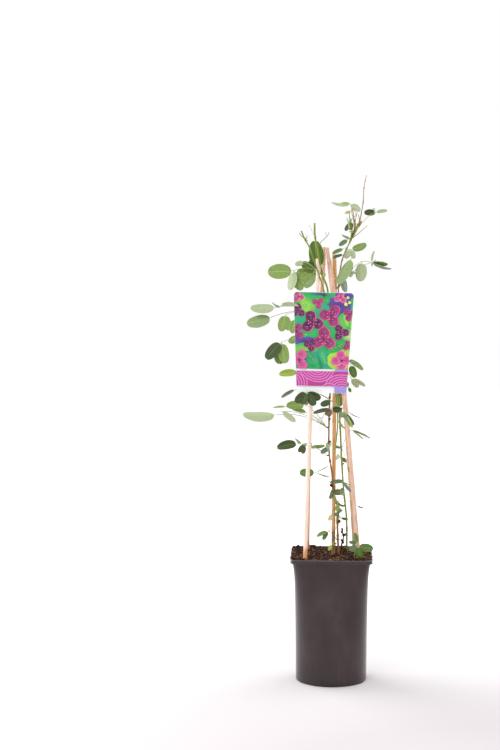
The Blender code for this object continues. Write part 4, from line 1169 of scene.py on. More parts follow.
# A stalk's tone is 0 for green, 1 for flushed brown and 2 for the bark of a cushion.
chance = random.Random(SEED + 1)
stalk_lines = []
leaf_points = []
for name, (stem, height, leaves) in masses.items():
    centre, root, found = place_leaves(name, stem, height, leaves)
    out = (root - centre).normalized()
    cushion = [root + out * far for far, _ in CUSHION]
    tone = 2 if stem == "woody_stem" else 0
    stalk_lines.append((cushion, [radius for _, radius in CUSHION], tone))
    for place, tones, axes in found:
        start = root + out * STALK_ROOT
        span = place - start
        rise = Vector((0.0, 0.0, span.length * STALK_SAG))
        shares = [step / STALK_BENDS for step in range(STALK_BENDS + 1)]
        path = [start + span * share + rise * 4 * share * (1 - share) for share in shares]
        girths = [STALK_RADIUS - STALK_THINNING * step / STALK_BENDS
                  for step in range(STALK_BENDS - 1)]
        stalk_lines.append((path, [STALK_FOOT, *girths, STALK_HUB],
                            1 if chance.random() < FLUSHED_SHARE else 0))
        for letter, (length, along, face) in zip(tones, axes):
            _, _, _, underside = TONES[letter]
            face = -face if underside else face
            bend = [place + along * length * PETIOLULE * share for share in (0.0, 0.5, 1.15)]
            stalk_lines.append((bend, list(PETIOLULE_RADII), 0))
            broad = chance.uniform(0.92, 1.06)
            leaf_points.append((place, along, face, Vector((length, length * broad, length)),
                                chance.randrange(LEAF_SHAPES), LEAF_TONES.index(letter)))

shapes = bpy.data.collections.new("leaflet_shapes")
shape_source = random.Random(SEED + 2)
for index in range(LEAF_SHAPES):
    shapes.objects.link(leaflet_shape(index, shape_source))
# Leaf skin is thin and waxy: the upper side is glossy and mottled, the underside dull and
# paler, and the midrib paler still and even.
skins = {}
rules = []
for code, (letter, (upper, under, rib, _)) in enumerate(TONES.items()):
    parts = (("upper side", upper, 0.42, 0.12), ("underside", under, 0.60, 0.07),
             ("midrib", rib, 0.50, 0.03))
    for index, (part, colour, gloss, mottle) in enumerate(parts):
        if colour not in skins:
            skins[colour] = leaf_skin("leaf %s, %s" % (part, letter), colour, gloss, mottle)
        rules.append((skins[colour], (("tone", code), ("side", index))))
leaves = grow("leaflets", spots_mesh("leaf_spots", leaf_points),
              set_out_tree("leaflets", shapes, rules, "X", "Z"), {}, smooth=70)
dress(leaves, "leaf", *masses)
for shape in list(shapes.objects):
    bpy.data.objects.remove(shape)
bpy.data.collections.remove(shapes)

stalk_rules = [(skin, (("tone", tone),))
               for tone, skin in enumerate((stalk_green, stalk_brown, cushion_bark))]
stalks = grow("leaf_stalks", lines_mesh("stalk_lines", stalk_lines),
              sweep_tree("stalks", stalk_rules),
              {"Sides": 6, "Relief": 0.0001, "Relief size": 0.001, "Relief length": 0.003})
dress(stalks, "leaf")


# ---------------------------------------------------------------- Shoots, buds and tendrils
# At the top, cut green shoots keep side stubs, a fat yellow-green bud and thin tendrils,
# and a sheaf of young shoots stands where the brown shoot begins. Scaly brown buds sit on
# the old stem's knots lower down.

# Shoots and tendrils: the stem each grows from, its radius at the root and at the tip, its
# tone (0 green, 1 brown, 3 tendril, 4 dead) and the places it passes, in millimetres
SHOOTS = (
    ("cross_stem", 0.75, 0.55, 0, ((-46, -25, 745), (-53, -27, 751), (-56.6, -28, 756))),
    ("cross_stem", 0.7, 0.5, 0, ((-46, -25, 744), (-44, -26, 747), (-43.4, -27, 752))),
    ("green_stem", 0.35, 0.18, 3, ((-30.5, -23, 750), (-34, -25, 756), (-40, -28, 769))),
    ("green_stem", 0.65, 0.45, 0,
     ((-25, -22, 733), (-20, -24, 741), (-9.8, -25, 751), (-7, -25, 757.5))),
    ("green_stem", 0.35, 0.25, 3, ((-9.8, -25, 751), (-12.5, -26, 754), (-13, -27, 758))),
    ("woody_stem", 1.0, 0.7, 0,
     ((26, -8, 735), (30, -13, 752), (28.5, -14, 772), (26.5, -13, 790))),
    ("woody_stem", 0.9, 0.5, 0, ((29, -9, 742), (32, -13, 758), (29.5, -14, 780))),
    ("woody_stem", 1.0, 0.5, 1, ((28, -8, 740), (35, -14, 760), (37, -15, 777), (40, -15, 790))),
    ("woody_stem", 1.3, 0.9, 4, ((30, -9, 745), (34.5, -14, 758), (37.5, -15, 772))),
    ("woody_stem", 1.1, 0.6, 0, ((32, -9, 748), (39, -14, 762), (43.5, -14, 776), (42, -13, 786))),
    ("woody_stem", 1.4, 1.0, 0, ((34, -9, 750), (38, -13, 760), (42, -14, 772))),
    ("woody_stem", 1.5, 1.1, 0, ((31, -9, 746), (36, -14, 757), (40.5, -15, 769))),
    ("woody_stem", 1.3, 0.9, 1, ((33, -9, 750), (37, -15, 764), (35, -15, 779))),
    ("woody_stem", 1.2, 0.9, 0, ((35, -9, 752), (41, -14, 764), (46, -14, 771))),
    ("woody_stem", 0.7, 0.4, 0, ((30, -8, 745), (40, -14, 753), (48, -14, 760), (57, -13, 768))),
    ("woody_stem", 0.6, 0.35, 1, ((35, -12, 780), (33, -13, 795), (38, -13, 786), (29, -13, 776))),
    ("woody_stem", 0.9, 0.6, 0, ((10, -3, 664), (16, -10, 674), (24, -14, 684), (33, -20, 697))),
    ("woody_stem", 0.45, 0.3, 0, ((48, -8, 708), (57, -2, 708.5), (66, 6, 706))),
    ("woody_stem", 0.8, 0.45, 0, ((16, -5, 711), (21, -12, 723), (27.5, -15, 741), (31, -16, 755))),
    ("woody_stem", 0.45, 0.2, 3,
     ((-5, -5, 455), (-13.9, -14, 453), (-18.7, -15, 440), (-22.2, -16, 431.6),
      (-19.8, -16, 423.2))),
    ("woody_stem", 0.4, 0.2, 3, ((-15, -14, 448), (-22, -15, 446), (-26, -15, 436))),
    ("woody_stem", 0.4, 0.25, 4, ((1, -10, 329), (6, -14, 331), (12, -14, 338))),
    ("dead_twig", 0.7, 0.4, 4, ((20, 17, 241), (25, 15, 243), (29, 14, 243))),
    ("dead_twig", 0.6, 0.3, 4, ((19, 19, 232), (15, 16, 236), (12, 15, 235))),
)
# Buds: stem, height, bearing in plan, length, width and tone (0 green, 1 dark red, 2 russet,
# 3 old and brown, 4 olive)
BUDS = (
    ("green_stem", 683, -70, 11.0, 6.2, 0), ("green_stem", 688, -120, 8.0, 4.6, 4),
    ("green_stem", 691, -95, 7.0, 4.0, 1), ("green_stem", 686, -20, 6.0, 3.8, 4),
    ("green_stem", 749, -90, 6.0, 3.8, 4), ("cross_stem", 745, -90, 6.0, 3.8, 4),
    ("cross_stem", 742, -10, 4.0, 2.6, 0), ("woody_stem", 770, -50, 9.0, 6.0, 2),
    ("woody_stem", 767, -110, 6.0, 3.8, 2), ("woody_stem", 765, -20, 7.0, 4.4, 2),
    ("woody_stem", 758, -100, 6.0, 3.6, 4), ("woody_stem", 752, -60, 6.0, 3.8, 1),
    ("woody_stem", 744, -80, 5.5, 3.4, 4), ("woody_stem", 729, -100, 4.6, 2.8, 0),
    ("woody_stem", 666, -80, 8.0, 5.0, 4), ("woody_stem", 662, -120, 6.5, 4.0, 2),
    ("woody_stem", 711, -90, 4.6, 2.8, 2), ("top_shoot", 806, -60, 2.8, 1.8, 2),
    ("top_shoot", 829, 0, 2.6, 1.6, 2), ("green_stem", 364, -30, 6.0, 3.4, 2),
    ("woody_stem", 478, -110, 6.0, 3.4, 1), ("woody_stem", 443, -60, 5.0, 3.4, 3),
    ("woody_stem", 405, -30, 5.0, 3.2, 3), ("woody_stem", 373, -80, 4.6, 3.2, 3),
    ("woody_stem", 332, -130, 8.0, 4.6, 3), ("woody_stem", 328, -70, 7.0, 4.6, 1),
    ("woody_stem", 330, -165, 7.6, 3.8, 3), ("woody_stem", 324, -110, 6.0, 4.0, 3),
    ("woody_stem", 303, -60, 6.5, 4.2, 3), ("woody_stem", 300, -20, 6.0, 3.8, 1),
    ("woody_stem", 287, -30, 9.0, 4.2, 1), ("woody_stem", 285, -5, 10.0, 3.8, 1),
    ("woody_stem", 290, -80, 6.5, 4.2, 3), ("woody_stem", 281, -60, 6.0, 4.0, 3),
    ("woody_stem", 270, -50, 7.5, 4.6, 3), ("woody_stem", 268, -10, 7.0, 4.0, 1),
    ("dead_twig", 252, -90, 7.0, 4.8, 3), ("dead_twig", 243, -30, 7.0, 4.4, 3),
    ("dead_twig", 233, -120, 7.0, 4.8, 3), ("dead_twig", 229, -40, 6.0, 4.4, 3),
    ("dead_twig", 247, -150, 6.0, 4.0, 3), ("dead_twig", 222, -80, 6.0, 4.4, 3),
)
BUD_LIFT = 38  # degrees that a bud leans up from level
SHOOT_STEPS = 8
ROOT_REACH = 0.008  # a shoot that starts within this of its stem is rooted in its middle
TENDRIL = 3  # the tone of tendrils, which keep their own start

# A tendril is a wiry stalk flushed purple-brown, thin and slightly shiny.
tendril_skin = bark("tendril, purple-brown", ((0.3, "#6C5348"), (0.7, "#9A8272")),
                    0.5, 0.001, 0.00005)
shoot_lines = []
for stem, thick, thin, tone, stations in SHOOTS:
    line = spline_points([Vector(station) * MM for station in stations], SHOOT_STEPS)
    distance, middle, _ = slim_limbs[stem].nearest(line[0])
    if tone != TENDRIL and distance < ROOT_REACH:
        line[0] = middle
    girths = [(thick + (thin - thick) * step / (len(line) - 1)) * MM for step in range(len(line))]
    shoot_lines.append((line, girths, tone))
shoot_rules = ((green_bark, (("tone", 0),)), (shoot_bark, (("tone", 1),)),
               (tendril_skin, (("tone", TENDRIL),)), (dead_bark, (("tone", 4),)))
shoots = grow("young_shoots", lines_mesh("shoot_lines", shoot_lines),
              sweep_tree("shoots", shoot_rules),
              {"Sides": 8, "Relief": 0.0002, "Relief size": 0.001, "Relief length": 0.004})
dress(shoots, "green_bark")

# A bud is a pointed egg of overlapping scales, a metre long before it is sized.
bm = bmesh.new()
bmesh.ops.create_uvsphere(bm, u_segments=10, v_segments=8, radius=0.5)
for vert in bm.verts:
    height = vert.co.z + 0.5
    taper = (1.05 - height) ** 0.45 * 1.05
    around = math.atan2(vert.co.y, vert.co.x)
    scaly = 1.0 + 0.10 * math.sin(height * 18.0) + 0.06 * math.sin(3 * around + height * 9)
    vert.co.x *= taper * scaly
    vert.co.y *= taper * scaly
    vert.co.z = height
bud_shape = as_piece("bud_shape", bm, [])
bpy.context.scene.collection.objects.unlink(bud_shape)
bud_shapes = bpy.data.collections.new("bud_shapes")
bud_shapes.objects.link(bud_shape)

# Bud scales are thin, dry and faintly glossy: green while they swell, then russet or dark
# red, and dull brown on the old buds.
bud_green = bark("bud, yellow-green", ((0.3, "#8C9A3C"), (0.7, "#B9C25F")),
                 0.45, 0.0010, 0.0002, 1.0)
bud_dark_red = bark("bud scale, dark red", ((0.3, "#5A2A24"), (0.7, "#8A4A3A")),
                    0.45, 0.0010, 0.0002, 1.0)
bud_russet = bark("bud, russet", ((0.3, "#8F5B43"), (0.7, "#BE9272")),
                  0.5, 0.0010, 0.0002, 1.0)
bud_olive = bark("bud, olive brown", ((0.3, "#6E6420"), (0.7, "#A39A3C")),
                 0.5, 0.0010, 0.0002, 1.0)
bud_brown = bark("old bud, brown", ((0.3, "#2A1812"), (0.7, "#5A382A")),
                 0.8, 0.0010, 0.0005, 1.0)
bud_points = []
for stem, height, bearing, length, width, tone in BUDS:
    centre, radius = slim_limbs[stem].at_height(height * MM)
    plan = math.radians(bearing)
    out = Vector((math.cos(plan), math.sin(plan), 0.0))
    lift = math.radians(BUD_LIFT)
    aim = out * math.cos(lift) + Vector((0.0, 0.0, math.sin(lift)))
    bud_points.append((centre + out * radius * 0.5, aim, Vector((0.0, 0.0, 1.0)),
                       Vector((width * MM, width * MM, length * MM)), 0, tone))
bud_skins = (bud_green, bud_dark_red, bud_russet, bud_brown, bud_olive)
bud_rules = [(skin, (("tone", tone),)) for tone, skin in enumerate(bud_skins)]
buds = grow("buds", spots_mesh("bud_spots", bud_points),
            set_out_tree("buds", bud_shapes, bud_rules, "Z", "X"), {})
dress(buds, "green_bark")
bpy.data.objects.remove(bud_shape)
bpy.data.collections.remove(bud_shapes)


# ---------------------------------------------------------------- The label
# A picture card of thin printed polystyrene, a little wider at the top, that leans on the
# front left cane and hangs from a stem by a dark red peg through its hole. Its picture is
# a plain one of blossom and leaves, above a magenta band and a white strip.

LABEL_TOP_WIDTH = 0.100
LABEL_BOTTOM_WIDTH = 0.083
LABEL_LENGTH = 0.167
LABEL_THICKNESS = 0.0006
LABEL_TOP_CORNER = 0.006
LABEL_BOTTOM_CORNER = 0.002
LABEL_TOP_LEVEL = 0.6570
LABEL_CENTRE_X = -0.0150
LABEL_ROLL = math.radians(1.4)
HOLE_RADIUS = 0.0018
HOLE_DROP = 0.0045
HOLE_SIDES = 24
PICTURE_START = 0.0003  # distances down the card, from its top edge
PICTURE_END = 0.1275
BAND_START = 0.1310
BAND_END = 0.1555
PANEL_LEFT = 0.0215  # the lilac panel runs from here to the right edge
SHEET = 0.8  # shares of the card's thickness: the sheet, how far back it lies and its front
SHEET_BACK = 0.1
SHEET_FRONT = 0.3
CARD_CORNER_STEPS = 8
PRINT_CORNER_STEPS = 5
PRINT_MARGIN = 0.0002
PRINT_SIDE = 0.06  # blocks of print run this far out, and are cut to the card
STRIP_EDGE = 0.0006  # white left under the lilac panel
INK = 0.000004  # each layer of print stands this far in front of the last
RIPPLE_WIDE = 4.6  # millimetres between two ripples across, and down
RIPPLE_TALL = 3.9
RIPPLE_LINE = 1.8
PRINT_COLOURS = {
    "indigo": "#453A84", "violet": "#62519F", "green": "#2FAF5C", "deep green": "#178048",
    "teal": "#2FA480", "lime": "#9FD23F", "pale lime": "#CDE783", "yellow": "#D8DE5A",
    "plum": "#701F56", "dark plum": "#3D1238", "rose": "#A8356F", "pink": "#DE5F98",
    "pale pink": "#F3A9C6", "orchid": "#A85C9C", "lilac": "#A090D6", "magenta": "#B33A8C",
    "band light": "#D97FBE",
}


def label_frame():
    """Where the card stands: it leans back on the front left cane."""
    cane = canes["cane_front_left"]
    top, _ = cane.at_height(LABEL_TOP_LEVEL)
    bottom, _ = cane.at_height(LABEL_TOP_LEVEL - LABEL_LENGTH)
    lean = math.atan2(top.y - bottom.y, top.z - bottom.z)
    turn = Matrix.Rotation(math.pi / 2 - lean, 4, "X") @ Matrix.Rotation(-LABEL_ROLL, 4, "Z")
    stand = Matrix.Translation((LABEL_CENTRE_X, top.y, LABEL_TOP_LEVEL)) @ turn
    inverse = stand.inverted()
    front = max((inverse @ point).z for point in cane.points if bottom.z < point.z < top.z + 0.01)
    seat = max(0.0, front) + CANE_RADIUS + STEM_GAP + LABEL_THICKNESS / 2
    return stand @ Matrix.Translation((0.0, 0.0, seat))


def card_outline(steps):
    """The card's rounded outline, counter-clockwise from the lower left."""
    corners = (
        (-LABEL_BOTTOM_WIDTH / 2, -LABEL_LENGTH, LABEL_BOTTOM_CORNER, 180),
        (LABEL_BOTTOM_WIDTH / 2, -LABEL_LENGTH, LABEL_BOTTOM_CORNER, 270),
        (LABEL_TOP_WIDTH / 2, 0.0, LABEL_TOP_CORNER, 0),
        (-LABEL_TOP_WIDTH / 2, 0.0, LABEL_TOP_CORNER, 90),
    )
    outline = []
    for x, y, radius, start in corners:
        centre = Vector((x - math.copysign(radius, x), y + (radius if y < 0 else -radius)))
        for step in range(steps + 1):
            angle = math.radians(start + 90 * step / steps)
            outline.append(centre + radius * Vector((math.cos(angle), math.sin(angle))))
    return outline


def cut_card(name, outlines, thick, lift, material, stand):
    """A flat sheet cut from outlines, with its place in its mesh."""
    curve = bpy.data.curves.new(name, "CURVE")
    curve.dimensions = "2D"
    curve.fill_mode = "BOTH"
    curve.extrude = thick / 2
    for outline in outlines:
        spline = curve.splines.new("POLY")
        spline.points.add(len(outline) - 1)
        for spot, point in zip(spline.points, outline):
            spot.co = (*point, 0.0, 1.0)
        spline.use_cyclic_u = True
    guide = bpy.data.objects.new(name + "_guide", curve)
    bpy.context.scene.collection.objects.link(guide)
    mesh = made_mesh(guide)
    bpy.data.objects.remove(guide)
    bm = bmesh.new()
    bm.from_mesh(mesh)
    bmesh.ops.remove_doubles(bm, verts=bm.verts, dist=0.000005)
    bmesh.ops.transform(bm, matrix=stand @ Matrix.Translation((0.0, 0.0, lift)), verts=bm.verts)
    return as_piece(name, bm, [material], smooth=30)


def clip_to_card(points, top, bottom, left=None):
    """Cut a print's shape off at the card's rounded outline and at the picture's ends."""
    outline = card_outline(PRINT_CORNER_STEPS)
    edges = []  # each edge keeps the points where a*x + b*y <= c
    for index, corner in enumerate(outline):
        along = (corner - outline[index - 1]).normalized()
        edges.append((along.y, -along.x, along.y * corner.x - along.x * corner.y - PRINT_MARGIN))
    edges += [(0.0, 1.0, -top), (0.0, -1.0, bottom)]
    if left is not None:
        edges.append((-1.0, 0.0, -left))
    for a, b, c in edges:
        kept = []
        for index, (here, tint) in enumerate(points):
            last, last_tint = points[index - 1]
            inside = a * here.x + b * here.y <= c
            was = a * last.x + b * last.y <= c
            if inside != was:
                slope = a * (here.x - last.x) + b * (here.y - last.y)
                run = (c - a * last.x - b * last.y) / slope
                mixed = [old + (new - old) * run for old, new in zip(last_tint, tint)]
                kept.append((last.lerp(here, run), mixed))
            if inside:
                kept.append((here, tint))
        points = kept
        if len(points) < 3:
            return []
    return points


class Print:
    """Flat coloured shapes laid over one another, gathered into one mesh."""

    def __init__(self):
        self.shapes = []

    def lay(self, outline, inner, outer=None, centre=None, top=PICTURE_START,
            bottom=PICTURE_END, left=None):
        """Lay a shape down; with a centre it shades from there out to its edge."""
        edge = [(Vector(point), linear(PRINT_COLOURS[outer or inner])) for point in outline]
        if centre is None:
            pieces = [edge]
        else:
            core = (Vector(centre), linear(PRINT_COLOURS[inner]))
            pieces = [[core, edge[index - 1], edge[index]] for index in range(len(edge))]
        cut = [clip_to_card(piece, top, bottom, left) for piece in pieces]
        self.shapes.append([piece for piece in cut if piece])

    def build(self, stand, lift, material):
        """Turn the shapes into one mesh whose corners carry the ink's colour."""
        bm = bmesh.new()
        ink = bm.verts.layers.float_color.new("ink")
        for level, pieces in enumerate(self.shapes):
            height = lift + INK * (level + 1)
            for piece in pieces:
                corners = []
                for point, tint in piece:
                    corner = bm.verts.new(stand @ Vector((point.x, point.y, height)))
                    corner[ink] = tint
                    corners.append(corner)
                bm.faces.new(corners)
        facing = stand.to_3x3() @ Vector((0.0, 0.0, 1.0))
        for face in bm.faces:
            face.normal_update()
            if face.normal.dot(facing) < 0:
                face.normal_flip()
        mesh = bpy.data.meshes.new("label_print")
        bm.to_mesh(mesh)
        bm.free()
        item = bpy.data.objects.new("label_print", mesh)
        bpy.context.scene.collection.objects.link(item)
        mesh.materials.append(material)
        return item


def oval(x, y, wide, tall, turn=0, count=20, wobble=0.0, beat=3):
    """An oval outline; x and y are in millimetres from the card's top centre, y downward."""
    turn = math.radians(turn)
    outline = []
    for step in range(count):
        angle = math.tau * step / count
        reach = 1.0 + wobble * math.sin(beat * angle + x)
        u, v = wide * reach * math.cos(angle), tall * reach * math.sin(angle)
        outline.append(Vector((x + u * math.cos(turn) - v * math.sin(turn),
                               -(y + u * math.sin(turn) + v * math.cos(turn)))) * MM)
    return outline


def rectangle(left, right, top, bottom):
    """A plain block of print; its sides are cut to the card."""
    corners = ((left, -bottom), (right, -bottom), (right, -top), (left, -top))
    return [Vector(corner) for corner in corners]


def petal(art, x, y, wide, tall, turn, inner, outer, rim):
    """One cupped petal: a pale rim, a body that is dark in its hollow, and fine veins."""
    art.lay(oval(x, y, wide, tall, turn, 22, 0.05, 4), rim)
    art.lay(oval(x - 0.08 * wide, y - 0.03 * tall, 0.93 * wide, 0.94 * tall, turn, 22, 0.05, 4),
            inner, outer, Vector((x - 0.25 * wide, -(y - 0.2 * tall))) * MM)
    for spread in (-40, -14, 14, 40):
        away = math.radians(turn + spread)
        art.lay(oval(x + 0.36 * wide * math.cos(away), y + 0.36 * tall * math.sin(away),
                     0.36 * wide, 0.03 * wide, turn + spread, 8), "orchid")


def stamens(art, x, y, size, count):
    """A dark eye with pale stamens standing out round it."""
    art.lay(oval(x, y, 0.34 * size, 0.30 * size, 0, 12), "dark plum")
    for stamen in range(count):
        away = math.tau * stamen / count + 0.4
        art.lay(oval(x + 0.5 * size * math.cos(away), y + 0.5 * size * math.sin(away),
                     0.40 * size, 0.07 * size, math.degrees(away), 8),
                "orchid" if stamen % 3 == 0 else "plum")
        art.lay(oval(x + 0.92 * size * math.cos(away), y + 0.92 * size * math.sin(away),
                     0.10 * size, 0.09 * size, 0, 6), "pale pink")


def printed_leaf(art, x, y, length, turn, inner, outer, rib):
    """A pointed leaf with a pale midrib and side veins."""
    art.lay(oval(x, y, length / 2, 0.24 * length, turn, 20, 0.04), inner, outer,
            Vector((x, -y)) * MM)
    art.lay(oval(x, y, 0.46 * length, 0.010 * length, turn, 8), rib)
    for step in (-0.28, -0.1, 0.08, 0.24):
        for side in (-1, 1):
            along, away = math.radians(turn), math.radians(turn + side * 48)
            vx = x + step * length * math.cos(along) + 0.09 * length * math.cos(away)
            vy = y + step * length * math.sin(along) + 0.09 * length * math.sin(away)
            art.lay(oval(vx, vy, 0.10 * length, 0.006 * length, turn + side * 48, 6), rib)


# Printed polystyrene card: white in the sheet, with a smooth half-gloss lacquer over
# four-colour print.
card_white, tree, shader, place = new_material("polystyrene card, white",
                                               {"IOR": 1.5, "Coat Weight": 0.3,
                                                "Coat Roughness": 0.25})
sheet = grain(tree, place, 0.020)
tree.links.new(ramp(tree, sheet, ((0.3, "#EDEDF2"), (0.7, "#F8F7FB"))), shader.inputs["Base Color"])
tree.links.new(band(tree, sheet, 0.38, 0.46), shader.inputs["Roughness"])
relief(tree, shader, grain(tree, place, 0.0008), 0.00003)
card_ink, tree, shader, place = new_material("printing ink, lacquered",
                                             {"IOR": 1.5, "Specular IOR Level": 0.3,
                                              "Coat Weight": 0.1, "Coat Roughness": 0.25})
ink = add(tree, "ShaderNodeAttribute", attribute_name="ink").outputs["Color"]
dots = grain(tree, place, 0.0012, detail=2.0)
tinted = add(tree, "ShaderNodeHueSaturation",
             {"Color": ink, "Value": band(tree, dots, 0.94, 1.06)}).outputs[0]
tree.links.new(tinted, shader.inputs["Base Color"])
tree.links.new(band(tree, dots, 0.36, 0.44), shader.inputs["Roughness"])
relief(tree, shader, dots, 0.00002)

stand = label_frame()
hole = []
for step in range(HOLE_SIDES):
    angle = -step * math.tau / HOLE_SIDES
    around = Vector((math.cos(angle), math.sin(angle)))
    hole.append(Vector((0.0, -HOLE_DROP)) + HOLE_RADIUS * around)
card = cut_card("picture_card", (card_outline(CARD_CORNER_STEPS), hole), LABEL_THICKNESS * SHEET,
                -LABEL_THICKNESS * SHEET_BACK, card_white, stand)
dress(card, "label_card", "label")

# The picture: ground colours, then leaves, blossom and berries over them. Each place and size
# is in millimetres, with the place measured across and down from the card's top centre.
art = Print()
art.lay(rectangle(-PRINT_SIDE, PRINT_SIDE, 0.0, PICTURE_END), "green")
for x, y, wide, tall, turn, inner, outer in (
    (-30, 22, 20, 16, 10, "lime", "green"), (24, 24, 24, 22, 20, "indigo", "violet"),
    (-6, 3, 24, 6, 5, "indigo", "green"), (42, 50, 18, 22, 12, "lime", "green"),
    (34, 6, 16, 8, 0, "indigo", "violet"), (-28, 84, 24, 12, 12, "indigo", "violet"),
    (-26, 98, 26, 14, 10, "lime", "green"), (0, 112, 26, 16, 0, "deep green", "teal"),
    (22, 88, 26, 9, -28, "deep green", "green"), (42, 70, 12, 12, 0, "pale lime", "green"),
    (-36, 48, 14, 12, 0, "teal", "green"), (2, 34, 16, 14, 30, "green", "teal"),
    (-18, 116, 20, 12, 28, "teal", "deep green"), (30, 112, 21, 20, 0, "yellow", "lime"),
):
    art.lay(oval(x, y, wide, tall, turn, 28, 0.10), inner, outer, Vector((x, -y)) * MM)
for x, y, length, turn, inner, outer, rib in (
    (-34, 70, 22, 4, "deep green", "green", "pale lime"),
    (-30, 24, 24, 60, "green", "lime", "pale lime"),
    (24, 90, 34, -28, "deep green", "green", "lime"),
    (-18, 108, 30, 40, "deep green", "teal", "lime"),
    (2, 108, 26, 70, "green", "teal", "lime"),
    (38, 46, 26, 70, "lime", "green", "pale lime"),
    (-2, 12, 26, 14, "deep green", "green", "lime"),
    (-16, 122, 24, 10, "deep green", "green", "teal"),
):
    printed_leaf(art, x, y, length, turn, inner, outer, rib)
for x, y, size, turn, petals, inner, outer, rim in (
    (-42, 8, 9, 10, 3, "rose", "pink", "pale pink"),
    (28, 8, 10, 40, 3, "rose", "pink", "pale pink"),
    (-9, 18, 9, 80, 3, "rose", "rose", "pink"),
    (-42, 32, 11, 30, 3, "dark plum", "plum", "orchid"),
    (43, 36, 10, 100, 3, "plum", "rose", "pink"),
    (13, 38, 17, 65, 3, "plum", "rose", "pink"),
    (-18, 50, 17, 15, 3, "dark plum", "plum", "pink"),
    (-43, 66, 12, 50, 3, "plum", "rose", "orchid"),
    (30, 66, 12, 0, 3, "dark plum", "plum", "orchid"),
    (2, 78, 18, 32, 3, "plum", "rose", "pink"),
    (-20, 88, 10, 75, 3, "dark plum", "plum", "orchid"),
    (42, 88, 8, 20, 3, "plum", "rose", "pink"),
    (-38, 113, 16, 55, 3, "rose", "pink", "orchid"),
    (32, 113, 15, 85, 4, "rose", "pink", "pale pink"),
):
    for step in range(petals):
        away = math.radians(turn + 360 / petals * step)
        petal(art, x + 0.56 * size * math.cos(away), y + 0.56 * size * math.sin(away),
              0.60 * size, 0.52 * size, math.degrees(away), inner, outer, rim)
    stamens(art, x, y, 0.45 * size, 8)
for x, y, size in ((40, 8, 2.4), (37, 19, 3.0), (43, 16, 2.6)):
    art.lay(oval(x, y, size, size, 0, 12), "yellow", "pale lime", Vector((x, -y)) * MM)
# Ripples, laid from the widest ring in: a pale oval, then the band's own colour inside it.
in_band = {"top": BAND_START, "bottom": BAND_END}
art.lay(rectangle(-PRINT_SIDE, PRINT_SIDE, BAND_START, BAND_END), "magenta", **in_band)
for x, y, rings in ((-52, 152, 6), (34, 160, 6), (-8, 124, 6), (12, 164, 3)):
    for ring in range(rings, 0, -1):
        wide, tall = RIPPLE_WIDE * ring, RIPPLE_TALL * ring
        art.lay(oval(x, y, wide + RIPPLE_LINE, tall + RIPPLE_LINE, 0, 40, 0.03), "band light",
                **in_band)
        art.lay(oval(x, y, wide, tall, 0, 40, 0.03), "magenta", **in_band)
art.lay(rectangle(PANEL_LEFT, PRINT_SIDE, BAND_END, LABEL_LENGTH), "lilac",
        top=BAND_END, bottom=LABEL_LENGTH - STRIP_EDGE, left=PANEL_LEFT)
art.lay(rectangle(PANEL_LEFT, PRINT_SIDE, PICTURE_END, BAND_START), "lilac",
        top=PICTURE_END, bottom=BAND_START, left=PANEL_LEFT)
card_print = art.build(stand, LABEL_THICKNESS * SHEET_FRONT, card_ink)
dress(card_print, "label_card")

# Soft PVC, dark red and dull: a peg pushed through the hole, on a ring round the stem behind.
peg_plastic, tree, shader, place = new_material("soft PVC, dark red", {"IOR": 1.5,
                                                                       "Roughness": 0.45})
skin = grain(tree, place, 0.0010)
tree.links.new(ramp(tree, skin, ((0.3, "#3B1014"), (0.7, "#5E1C22"))), shader.inputs["Base Color"])
tie = frame["nodes"]["label_tie"]
tie.data.materials.clear()
tie.data.materials.append(peg_plastic)


# ---------------------------------------------------------------- Floor, light and camera
# A white studio table that runs on behind the plant, lit all round by a white surround,
# with one soft light above the camera and a larger one behind the plant on each side.

CAMERA_PLACE = (-0.1377, -3.009, 0.768)
CAMERA_DOWN = math.radians(4.75)
FRAME_HEIGHT = 750  # pixels, as the focal length is
FOCAL_PIXELS = 1800
SENSOR = 36.0  # millimetres
FLOOR_SIZE = 14.0
FLOOR_DROP = 0.0002

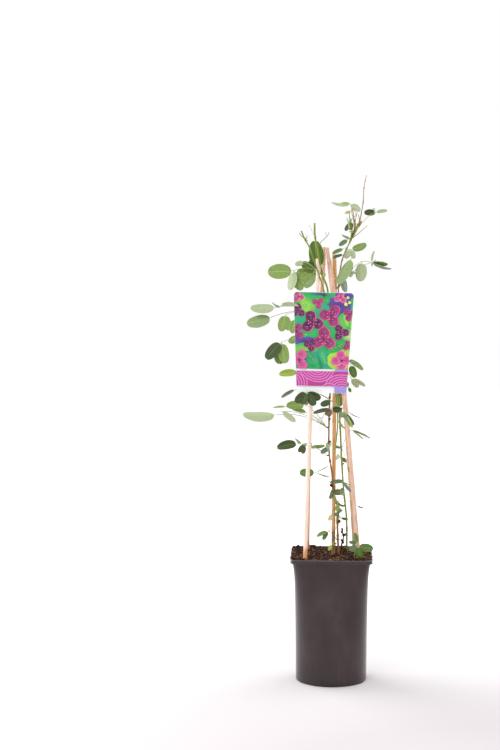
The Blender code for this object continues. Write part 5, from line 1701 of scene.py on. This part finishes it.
bm = bmesh.new()
bmesh.ops.create_grid(bm, x_segments=2, y_segments=2, size=FLOOR_SIZE / 2,
                      matrix=Matrix.Translation((0.0, 3.0, -FLOOR_DROP)))
# Matt white laminate, painted a warm grey near the plant and white further off: painted shade where
# the lights fall short.
table_white, tree, shader, place = new_material("studio table, matt white",
                                                {"Roughness": 0.9, "Specular IOR Level": 0.0})
far = add(tree, "ShaderNodeVectorMath", {0: place, 1: (0.2, -0.6, 0.0)},
          operation="DISTANCE").outputs["Value"]
painted_falloff = band(tree, far, 0.0, 1.0, 0.3, 1.6)
tree.links.new(ramp(tree, painted_falloff, ((0.0, "#D1CBCD"), (1.0, "#FFFFFF"))), shader.inputs["Base Color"])
floor = as_piece("studio_table", bm, [table_white])

world = bpy.data.worlds.new("white surround")
bpy.context.scene.world = world
world.use_nodes = True
world.node_tree.nodes["Background"].inputs["Color"].default_value = linear("#FFFFFF")
world.node_tree.nodes["Background"].inputs["Strength"].default_value = 1.0
bpy.context.scene.view_settings.view_transform = "Standard"


def soft_light(name, place, target, size, power):
    """A square soft box aimed at a place."""
    lamp = bpy.data.lights.new(name, "AREA")
    lamp.size = size
    lamp.energy = power
    item = bpy.data.objects.new(name, lamp)
    item.location = place
    item.rotation_euler = (Vector(target) - Vector(place)).to_track_quat("-Z", "Y").to_euler()
    bpy.context.scene.collection.objects.link(item)


soft_light("key_soft_box", (-0.9, -2.0, 2.4), (0.0, 0.0, 0.45), 1.2, 16)
soft_light("left_soft_box", (-2.4, 1.7, 0.9), (0.0, 0.0, 0.15), 3.0, 120)
soft_light("right_soft_box", (2.4, 1.7, 0.9), (0.0, 0.0, 0.15), 3.0, 55)

lens = bpy.data.cameras.new("camera")
lens.sensor_width = SENSOR
lens.lens = FOCAL_PIXELS * SENSOR / FRAME_HEIGHT
camera = bpy.data.objects.new("camera", lens)
camera.location = CAMERA_PLACE
camera.rotation_euler = (math.pi / 2 - CAMERA_DOWN, 0.0, 0.0)
bpy.context.scene.collection.objects.link(camera)
bpy.context.scene.camera = camera
